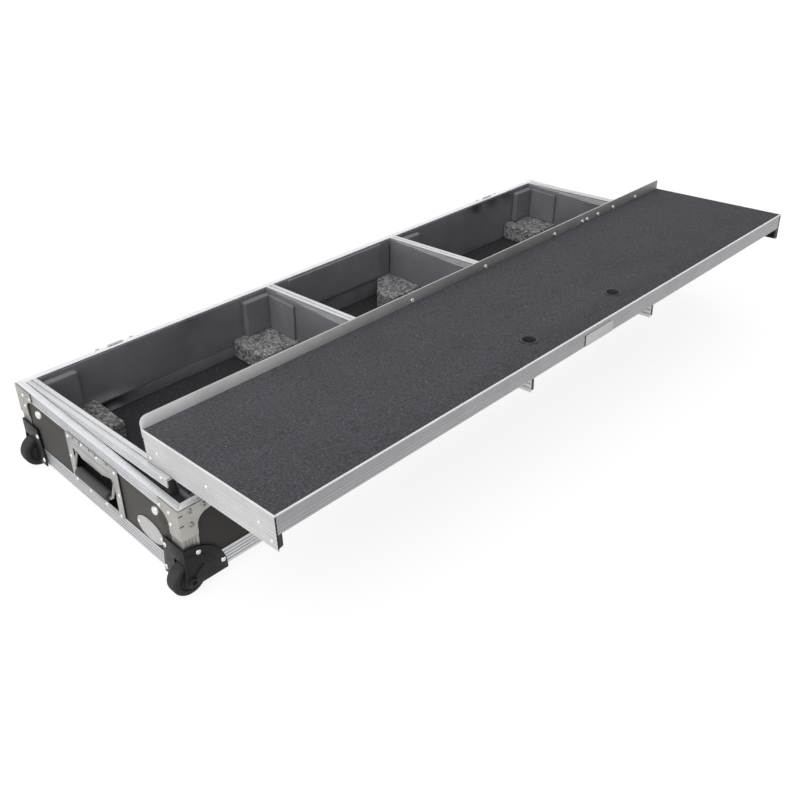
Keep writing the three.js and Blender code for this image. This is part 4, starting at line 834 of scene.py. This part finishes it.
def foam_form(name, outline, low, high, finish, edge, waviness, wave_size, voxel=None, across="z"):
    shape = bmesh.new()
    face = shape.faces.new([shape.verts.new((u, v, low)) for u, v in outline])
    lifted = bmesh.ops.extrude_face_region(shape, geom=[face])
    bmesh.ops.translate(shape, vec=(0, 0, high - low), verts=[
        part for part in lifted["geom"] if isinstance(part, bmesh.types.BMVert)])
    bmesh.ops.recalc_face_normals(shape, faces=shape.faces)
    bmesh.ops.bevel(shape, geom=list(shape.edges), offset=edge, segments=3, profile=0.5, affect="EDGES",
        clamp_overlap=True)
    if across == "x":
        for vert in shape.verts:
            vert.co = Vector((vert.co.z, vert.co.x, vert.co.y))
    bmesh.ops.recalc_face_normals(shape, faces=shape.faces)
    if voxel is None:
        for _ in range(4):
            long_edges = [line for line in shape.edges if line.calc_length() > wave_size / 3]
            if long_edges:
                bmesh.ops.subdivide_edges(shape, edges=long_edges, cuts=1, use_grid_fill=True)
        bmesh.ops.triangulate(shape, faces=shape.faces)
    mesh = smoothed_mesh(name, shape, (finish,), sharp=50)
    if voxel is not None:
        carrier = bpy.data.objects.new(name + "_carrier", mesh)
        scene.collection.objects.link(carrier)
        remesh = carrier.modifiers.new("even_cells", "REMESH")
        remesh.mode = "VOXEL"
        remesh.voxel_size = voxel
        mesh = settled_mesh(carrier)
        bpy.data.objects.remove(carrier)
        mesh.name = name
        mesh.materials.clear()
        mesh.materials.append(finish)
        for polygon in mesh.polygons:
            polygon.use_smooth = True
    normals = [vert.normal.copy() for vert in mesh.vertices]
    for vert, normal in zip(mesh.vertices, normals):
        swell = noise.noise(vert.co / wave_size) + 0.4 * noise.noise(vert.co / wave_size * 2.7)
        vert.co += normal * (swell - 0.7) * waviness
    piece = linked_piece(name, mesh, "case")
    return piece


foam_end = 0.2340
sheet_back = 0.2369
floor_bottom = case_foot + 0.0113
floor_top = case_foot + 0.0180
block_top = case_foot + 0.0600
pad_top = case_foot + 0.1400
wall_top = case_foot + 0.1462
well_top = case_foot + 0.0440
well_end = -0.7153
well_reach = 0.2190
bays = {"left": (-0.7195, -0.2008), "mixer": (-0.1764, 0.1764), "right": (0.2008, 0.7195)}
sheet_thickness = 0.0024
sheet_gap = 0.0002
floor_overlap = 0.0008
floor_lift = 0.0003
glued_in = 0.0006
pad_sink = 0.0004
block_depth = 0.1040
block_length = 0.0970
block_chamfer = 0.0530
pad_length = 0.0680
pad_thickness = 0.0155
side_pad_length = 0.0800
side_pad_thickness = 0.0075


def foam_block(corner, outline):
    foam_form(f"{corner}_block", outline, floor_top, block_top, block_foam, 0.0016, 0.0006, 0.012,
        voxel=0.0028)


def foam_pad(name, outline, edge, waviness):
    foam_form(name, outline, block_top - pad_sink, pad_top, pad_foam, edge, waviness, 0.05, voxel=0.0025)


for bay, (x0, x1) in bays.items():
    at_well = bay == "left"
    floor_start = well_end if at_well else x0 - floor_overlap
    bay_floor = foam_form(f"{bay}_bay_floor",
        rectangle((floor_start, x1 + floor_overlap), (-foam_end, foam_end)),
        floor_bottom, floor_top + floor_lift, floor_foam, 0.0006, 0.0003, 0.09)
    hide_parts(f"{bay}_bay_foam")
    for side, side_name in ((-1, "front"), (1, "back")):
        sheet_ends = (side * foam_end, side * sheet_back)
        foam_form(f"{bay}_{side_name}_lining", rectangle((x0 + sheet_gap, x1 - sheet_gap), sheet_ends),
            floor_top if not at_well else well_top, wall_top, sheet_foam, 0.0008, 0.0009, 0.11)
        if at_well:
            foam_form(f"{bay}_{side_name}_lower_lining", rectangle((well_end, x1 - sheet_gap), sheet_ends),
                floor_top, well_top + sheet_gap, sheet_foam, 0.0008, 0.0009, 0.11)
    for end, x in ((-1, x0), (1, x1)):
        outer = x + end * sheet_thickness
        end_name = "left" if end < 0 else "right"
        outline = rectangle((-foam_end, foam_end), (floor_top, wall_top))
        if at_well and end < 0:
            outline = [
                (-well_reach, floor_top), (well_reach, floor_top), (well_reach, well_top),
                (foam_end, well_top), (foam_end, wall_top), (-foam_end, wall_top), (-foam_end, well_top),
                (-well_reach, well_top),
            ]
        foam_form(f"{bay}_{end_name}_side_lining", outline, min(x, outer), max(x, outer), sheet_foam, 0.0006,
            0.0006, 0.11, across="x")
        for side, side_name in ((-1, "front"), (1, "back")):
            corner = f"{bay}_{side_name}_{end_name}"
            block_front = side * (foam_end - block_depth)
            if bay == "mixer":
                inner = x - end * block_length
                foam_block(corner, [
                    (x, side * foam_end), (x, block_front), (inner, block_front),
                    (inner, side * (foam_end - block_chamfer)),
                    (inner + end * block_chamfer, side * foam_end),
                ])
                continue
            glued_x = x + end * glued_in
            glued_y = side * (foam_end + glued_in)
            block_x = well_end if at_well and end < 0 else glued_x
            foam_block(corner, rectangle((block_x, x - end * block_length), (block_front, glued_y)))
            pad_front = foam_end - pad_thickness
            foam_pad(f"{corner}_pad",
                rectangle((glued_x, x - end * pad_length), (side * pad_front, glued_y)), 0.0022, 0.0009)
            foam_pad(f"{corner}_side_pad", rectangle((glued_x, x - end * side_pad_thickness),
                (side * (pad_front + pad_sink), side * (pad_front - side_pad_length))), 0.0018, 0.0008)
mixer_pad_half = 0.1422
mixer_pad_front = 0.2290
mixer_pad_foot = case_foot + 0.0620
foam_form("mixer_back_pad",
    rectangle((-mixer_pad_half, mixer_pad_half), (mixer_pad_front, foam_end + glued_in)),
    mixer_pad_foot, wall_top, pad_foam, 0.0014, 0.0008, 0.06)


# The laptop shelf: a board covered in short dark carpet, with two rubber-lined cable ports and plastic
# glide strips beneath. It slides down the rails.
shelf_rise = 0.0558
tongue_depth = 0.0024
plate_low, plate_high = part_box("shelf_left_side_plate")
shelf_frame = Matrix.Translation((
    0, plate_low.y + tongue_depth * math.sin(slope), plate_high.z - shelf_rise * math.cos(slope),
)) @ Matrix.Rotation(-slope, 4, "X")
to_shelf = shelf_frame.inverted()
carpet, carpet_tree, carpet_shader, carpet_coordinates = new_finish("short_carpet", 0.95, Sheen_Weight=0.05,
    Specular_IOR_Level=0.15)
carpet_clouds = placed_effect(carpet_tree, cloudy_wear, Coordinates=carpet_coordinates, Cloud_Size=0.12,
    Depth=0.07, Colour=(0.079, 0.077, 0.089, 1))
pile = placed_effect(carpet_tree, cloudy_wear, Coordinates=carpet_coordinates, Cloud_Size=0.0034, Depth=0.48,
    Colour=carpet_clouds["Colour"])
carpet_flecks = placed_effect(carpet_tree, pale_specks, Coordinates=carpet_coordinates, Speck_Size=0.0034,
    Share=0.05, Ground=pile["Colour"], Speck=(0.15, 0.147, 0.16, 1))
carpet_tree.links.new(carpet_flecks["Colour"], carpet_shader.inputs["Base Color"])
raise_relief(carpet_tree, carpet_shader, pile["Mask"], 0.6, 0.0009)
port_rubber = worn_finish("port_rubber", (0.022, 0.022, 0.024), 0.5, 0.008, 0.2, 0.001, 0.00008)

port_places = ((-0.1295, 0.053), (0.1295, 0.053))
port_collar = 0.0158
deck_foot = 0.0407
carpet_level = 0.0551
carpet_depth = 0.0015
glide_depth = 0.0005
deck = finished("shelf_deck", board_paint, "shelf")
second_finish(deck, carpet, lambda at, normal: (to_shelf @ at).z > carpet_level - carpet_depth)
second_finish(deck, port_rubber, lambda at, normal: (to_shelf @ at).z > carpet_level and any(
    math.hypot((to_shelf @ at).x - x, (to_shelf @ at).y - y) < port_collar for x, y in port_places))
second_finish(deck, port_rubber, lambda at, normal: (to_shelf @ at).z < deck_foot - glide_depth)

ring_steps = 48
ring_foot = carpet_level - 0.0018
ring_profile = (
    (0.0120, 0.0012), (0.0120, 0.0028), (0.0127, 0.0037), (0.0140, 0.0041), (0.0153, 0.0038),
    (0.0161, 0.0029), (0.0163, 0.0012),
)
rings = bmesh.new()
for x, y in port_places:
    lofted(rings, turned(rings, ring_profile, ring_steps, lambda radius, height, across, along: (
        shelf_frame @ Vector((x + radius * across, y + radius * along, ring_foot + height)))), closed=True)
bmesh.ops.recalc_face_normals(rings, faces=rings.faces)
linked_piece("cable_port_rings", smoothed_mesh("cable_port_rings", rings, (port_rubber,)), "shelf")

# Lint caught in the pile: short pale threads, scattered thinly over the carpet. Each lies flat, turned
# by chance about the way the carpet faces.
lint_colour = worn_finish("pale_lint", (0.40, 0.40, 0.42), 0.9, 0.01, 0.2, 0.001, 0.00005)
scatter, scatter_in, scatter_out = effect("lint scatter", (
    ("Carpet", "Geometry", None), ("Density", "Float", None), ("Length", "Float", None),
    ("Thickness", "Float", None), ("Finish", "Material", None), ("Chance", "Int", None),
), (("Lint", "Geometry"),), "GeometryNodeTree")
thread_size = wire(scatter, "ShaderNodeCombineXYZ", {
    0: scatter_in["Length"], 1: scatter_in["Thickness"], 2: scatter_in["Thickness"],
})
thread = wire(scatter, "GeometryNodeMeshCube", {
    "Size": thread_size.outputs[0], "Vertices X": 4,
})
strewn = wire(scatter, "GeometryNodeDistributePointsOnFaces", {
    "Mesh": scatter_in["Carpet"], "Density": scatter_in["Density"], "Seed": scatter_in["Chance"],
})
thread_turn = wire(scatter, "FunctionNodeRandomValue", {
    2: 0.0, 3: 2 * math.pi, "Seed": scatter_in["Chance"],
}, data_type="FLOAT")
thread_way = wire(scatter, "FunctionNodeAxisAngleToRotation", {
    "Axis": (0, 0, 1), "Angle": thread_turn.outputs[1],
})
thread_lie = wire(scatter, "FunctionNodeRotateRotation", {
    "Rotation": strewn.outputs["Rotation"], "Rotate By": thread_way.outputs[0],
}, rotation_space="LOCAL")
thread_share = wire(scatter, "FunctionNodeRandomValue", {2: 0.35, 3: 1.2, "Seed": 11}, data_type="FLOAT")
strewn_threads = wire(scatter, "GeometryNodeInstanceOnPoints", {
    "Points": strewn.outputs["Points"], "Instance": thread.outputs["Mesh"], "Rotation": thread_lie.outputs[0],
    "Scale": thread_share.outputs[1],
})
real_threads = wire(scatter, "GeometryNodeRealizeInstances", {"Geometry": strewn_threads.outputs[0]})
finished_threads = wire(scatter, "GeometryNodeSetMaterial", {
    "Geometry": real_threads.outputs[0], "Material": scatter_in["Finish"],
})
scatter.links.new(finished_threads.outputs[0], scatter_out["Lint"])

carpet_ends = ((-0.7300, 0.7300), (0.0026, 0.3114))
lint_level = carpet_level + 0.0002
lint_bed_mesh = bpy.data.meshes.new("lint_bed")
lint_bed_mesh.from_pydata([
    shelf_frame @ Vector((x, y, lint_level)) for x, y in rectangle(*carpet_ends)
], [], [(0, 1, 2, 3)])
lint_mesh = made_by(scatter, "lint_bed", lint_bed_mesh, {
    "Density": 120.0, "Length": 0.0030, "Thickness": 0.0004, "Finish": lint_colour, "Chance": 5,
})
linked_piece("carpet_lint", lint_mesh, "shelf")


# Shelf edging: ribbed aluminium extrusions on the sides and front, runner plates beneath, and a hemmed lip
# along the back, with rivets, lip screws, black plastic ends and a name plate left bare.
side_face = 0.7327
edging_thickness = 0.002
side_length = 0.3117
rib_relief = 0.0005
rib_half = 0.0008
rib_crest_half = 0.0004
bead_height = 0.0022
front_drop = 0.0324
upper_ribs = (0.0370, 0.0315, 0.0260)
lower_ribs = (0.0205, 0.0130, 0.0070, 0.0010)


def ribbed_profile(bottom, ribs):
    points = [(edging_thickness, bottom), (edging_thickness, shelf_rise), (0, shelf_rise),
        (0, shelf_rise - bead_height), (rib_relief, shelf_rise - bead_height - rib_relief)]
    for rib in ribs:
        points += [(rib_relief, rib + rib_half), (0, rib + rib_crest_half), (0, rib - rib_crest_half),
            (rib_relief, rib - rib_half)]
    return points + [(rib_relief, bottom)]


def extruded(name, outline, ends, placed, finish):
    shape = bmesh.new()
    near, far = [[
        shape.verts.new(shelf_frame @ Vector(placed(u, v, along))) for u, v in outline
    ] for along in ends]
    lofted(shape, [near, far])
    shape.faces.new(near)
    shape.faces.new(list(reversed(far)))
    bmesh.ops.recalc_face_normals(shape, faces=shape.faces)
    return linked_piece(name, smoothed_mesh(name, shape, (finish,), sharp=20), "shelf")


# The front bar takes a darker copy of the aluminium than the side plates: painted shade on the front.
front_shaded_metal = drawn_metal("shelf_front_shaded_aluminium", (0.34, 0.335, 0.35), "x", 0.40)
# Rib crests and the top beads take lighter copies of the aluminium: painted highlights.
front_crest_highlight = drawn_metal("shelf_front_crest", (0.50, 0.49, 0.51), "x", 0.40)
front_bead_highlight = drawn_metal("shelf_front_bead", (0.93, 0.93, 0.95), "x", 0.5, metallic=0.5)
side_metal = drawn_metal("shelf_side_aluminium", (0.60, 0.60, 0.605), "slope", 0.38)
side_crest_highlight = drawn_metal("shelf_side_crest", (0.80, 0.80, 0.81), "slope", 0.38)
side_bead_highlight = drawn_metal("shelf_side_bead", (0.90, 0.90, 0.92), "slope", 0.5, metallic=0.5)
crest_depth = 0.0001
for end, side_name in ((-1, "left"), (1, "right")):
    plate = extruded(f"{side_name}_shelf_side", ribbed_profile(-tongue_depth, upper_ribs + lower_ribs),
        (0, side_length), lambda u, v, along: (end * (side_face - u), along, v), side_metal)
    second_finish(plate, side_crest_highlight, lambda at, normal: abs(at.x) > side_face - crest_depth)
    second_finish(plate, side_bead_highlight, lambda at, normal: (to_shelf @ at).z > shelf_rise - bead_height)
    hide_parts(f"shelf_{side_name}_side_plate")
edging_gap = 0.0003
front_reach = side_face - edging_thickness - edging_gap
front_bar = extruded("shelf_front_bar", ribbed_profile(shelf_rise - front_drop, upper_ribs),
    (-front_reach, front_reach), lambda u, v, along: (along, u, v), front_shaded_metal)
second_finish(front_bar, front_crest_highlight, lambda at, normal: (to_shelf @ at).y < crest_depth)
second_finish(front_bar, front_bead_highlight, lambda at, normal: (to_shelf @ at).z > shelf_rise - bead_height)
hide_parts("shelf_front_edge")
for name in ("shelf_left_runner_plate", "shelf_right_runner_plate"):
    finished(name, side_metal, "shelf")

# The lip is written brighter towards the wheeled end, where the photograph shows a reflection in it, and
# has a hem along its top.
way = shelf_frame.to_3x3()
lip_metal, lip_tree, lip_shader, lip_coordinates = new_finish("shelf_lip_aluminium", 0.6, 0.85)
lip_split = wire(lip_tree, "ShaderNodeSeparateXYZ", {0: lip_coordinates})
lip_fade = wire(lip_tree, "ShaderNodeMapRange", {
    "Value": lip_split.outputs[0], "From Min": -0.73, "From Max": -0.05, "To Min": 0.92, "To Max": 0.30,
})
lip_tone = wire(lip_tree, "ShaderNodeCombineColor", {
    0: lip_fade.outputs[0], 1: lip_fade.outputs[0], 2: lip_fade.outputs[0],
})
lip_worn = placed_effect(lip_tree, cloudy_wear, Coordinates=lip_coordinates, Cloud_Size=0.06, Depth=0.10,
    Colour=lip_tone.outputs[0])
lip_tree.links.new(lip_worn["Colour"], lip_shader.inputs["Base Color"])
raise_relief(lip_tree, lip_shader, lip_worn["Mask"], 0.2, 0.0001)
lip_edge = drawn_metal("shelf_lip_edge", (0.62, 0.62, 0.64), "x", 0.4)
lip = finished("shelf_back_lip", lip_metal, "shelf", rounding=0.0004)
edge_facing = 0.3
second_finish(lip, lip_edge, lambda at, normal: (
    abs((way @ normal).z) > edge_facing or abs(normal.x) > edge_facing))

glide_plastic = worn_finish("glide_plastic", (0.014, 0.014, 0.015), 0.5, 0.02, 0.2, 0.002, 0.0001,
    Specular_IOR_Level=0.2)
glide_inner = 0.7219
cap_low = 0.0015
cap_high = 0.0535
cap_proud = 0.0002
cap_depth = 0.0008
glide_high = 0.0210
glide_reach = (0.0026, 0.3000)
cap_gap = 0.0002
inner_face = side_face - edging_thickness
for end, side_name in ((-1, "left"), (1, "right")):
    for part, inner, outer, ends, high in (
        ("cap", inner_face - cap_gap, side_face - cap_gap, (-cap_proud, cap_depth), cap_high),
        ("glide", glide_inner, inner_face - edging_gap, glide_reach, glide_high),
    ):
        corners = ((inner, cap_low), (outer, cap_low), (outer, high), (inner, high))
        extruded(f"{side_name}_{part}_plastic", corners, ends, lambda x, z, along: (end * x, along, z),
            glide_plastic)

side_spots = ((0.2786, 0.0274), (0.1542, 0.0277), (0.0365, 0.0277), (0.3009, 0.0096), (0.0127, 0.0096))
shelf_rivets = []
for end in (-1, 1):
    for along, height in side_spots:
        at = shelf_frame @ Vector((end * side_face, along, height))
        shelf_rivets.append((at, (end, 0, 0)))
fasteners("shelf_side_rivets", shelf_rivets, rivet_head, nickel, "shelf", 9)
lip_face = 0.3120
lip_spots = (-0.1454, 0.0700, 0.3064, 0.4116, 0.4304, 0.4743, 0.5369, 0.6325)
lip_screw_height = 0.0600
lip_screws = []
for across in lip_spots:
    at = shelf_frame @ Vector((across, lip_face, lip_screw_height))
    lip_screws.append((at, way @ Vector((0, -1, 0))))
fasteners("shelf_lip_screws", lip_screws, screw_head, nickel, "shelf", 10)

name_plate_reach = (-0.0368, 0.0488)
name_plate_drop = (0.0105, 0.0322)
name_plate_proud = 0.0009
name_plate = bmesh.new()
name_plate_verts = bmesh.ops.create_cube(name_plate, size=1.0)["verts"]
bmesh.ops.scale(name_plate, vec=(
    name_plate_reach[1] - name_plate_reach[0], 2 * name_plate_proud, name_plate_drop[1] - name_plate_drop[0],
), verts=name_plate_verts)
bmesh.ops.bevel(name_plate, geom=[line for line in name_plate.edges if abs(
    line.verts[0].co.y - line.verts[1].co.y) > name_plate_proud], offset=0.003, segments=5, profile=0.5,
    affect="EDGES")
bmesh.ops.bevel(name_plate, geom=[line for line in name_plate.edges if line.calc_face_angle() > sharp_turn],
    offset=0.0003, segments=2, profile=0.5, affect="EDGES")
bmesh.ops.translate(name_plate, vec=(
    (name_plate_reach[0] + name_plate_reach[1]) / 2, 0,
    shelf_rise - (name_plate_drop[0] + name_plate_drop[1]) / 2,
), verts=name_plate.verts)
bmesh.ops.transform(name_plate, matrix=shelf_frame, verts=name_plate.verts)
name_piece = linked_piece("bare_name_plate", smoothed_mesh("bare_name_plate", name_plate, (badge_silver,)),
    "shelf")
# The plate's two end faces take the near-black finish: painted shade along its ends.
second_finish(name_piece, recess_painted_shade, lambda at, normal: abs(normal.x) > 0.5)

for head in (rivet_head, screw_head):
    bpy.data.objects.remove(head)
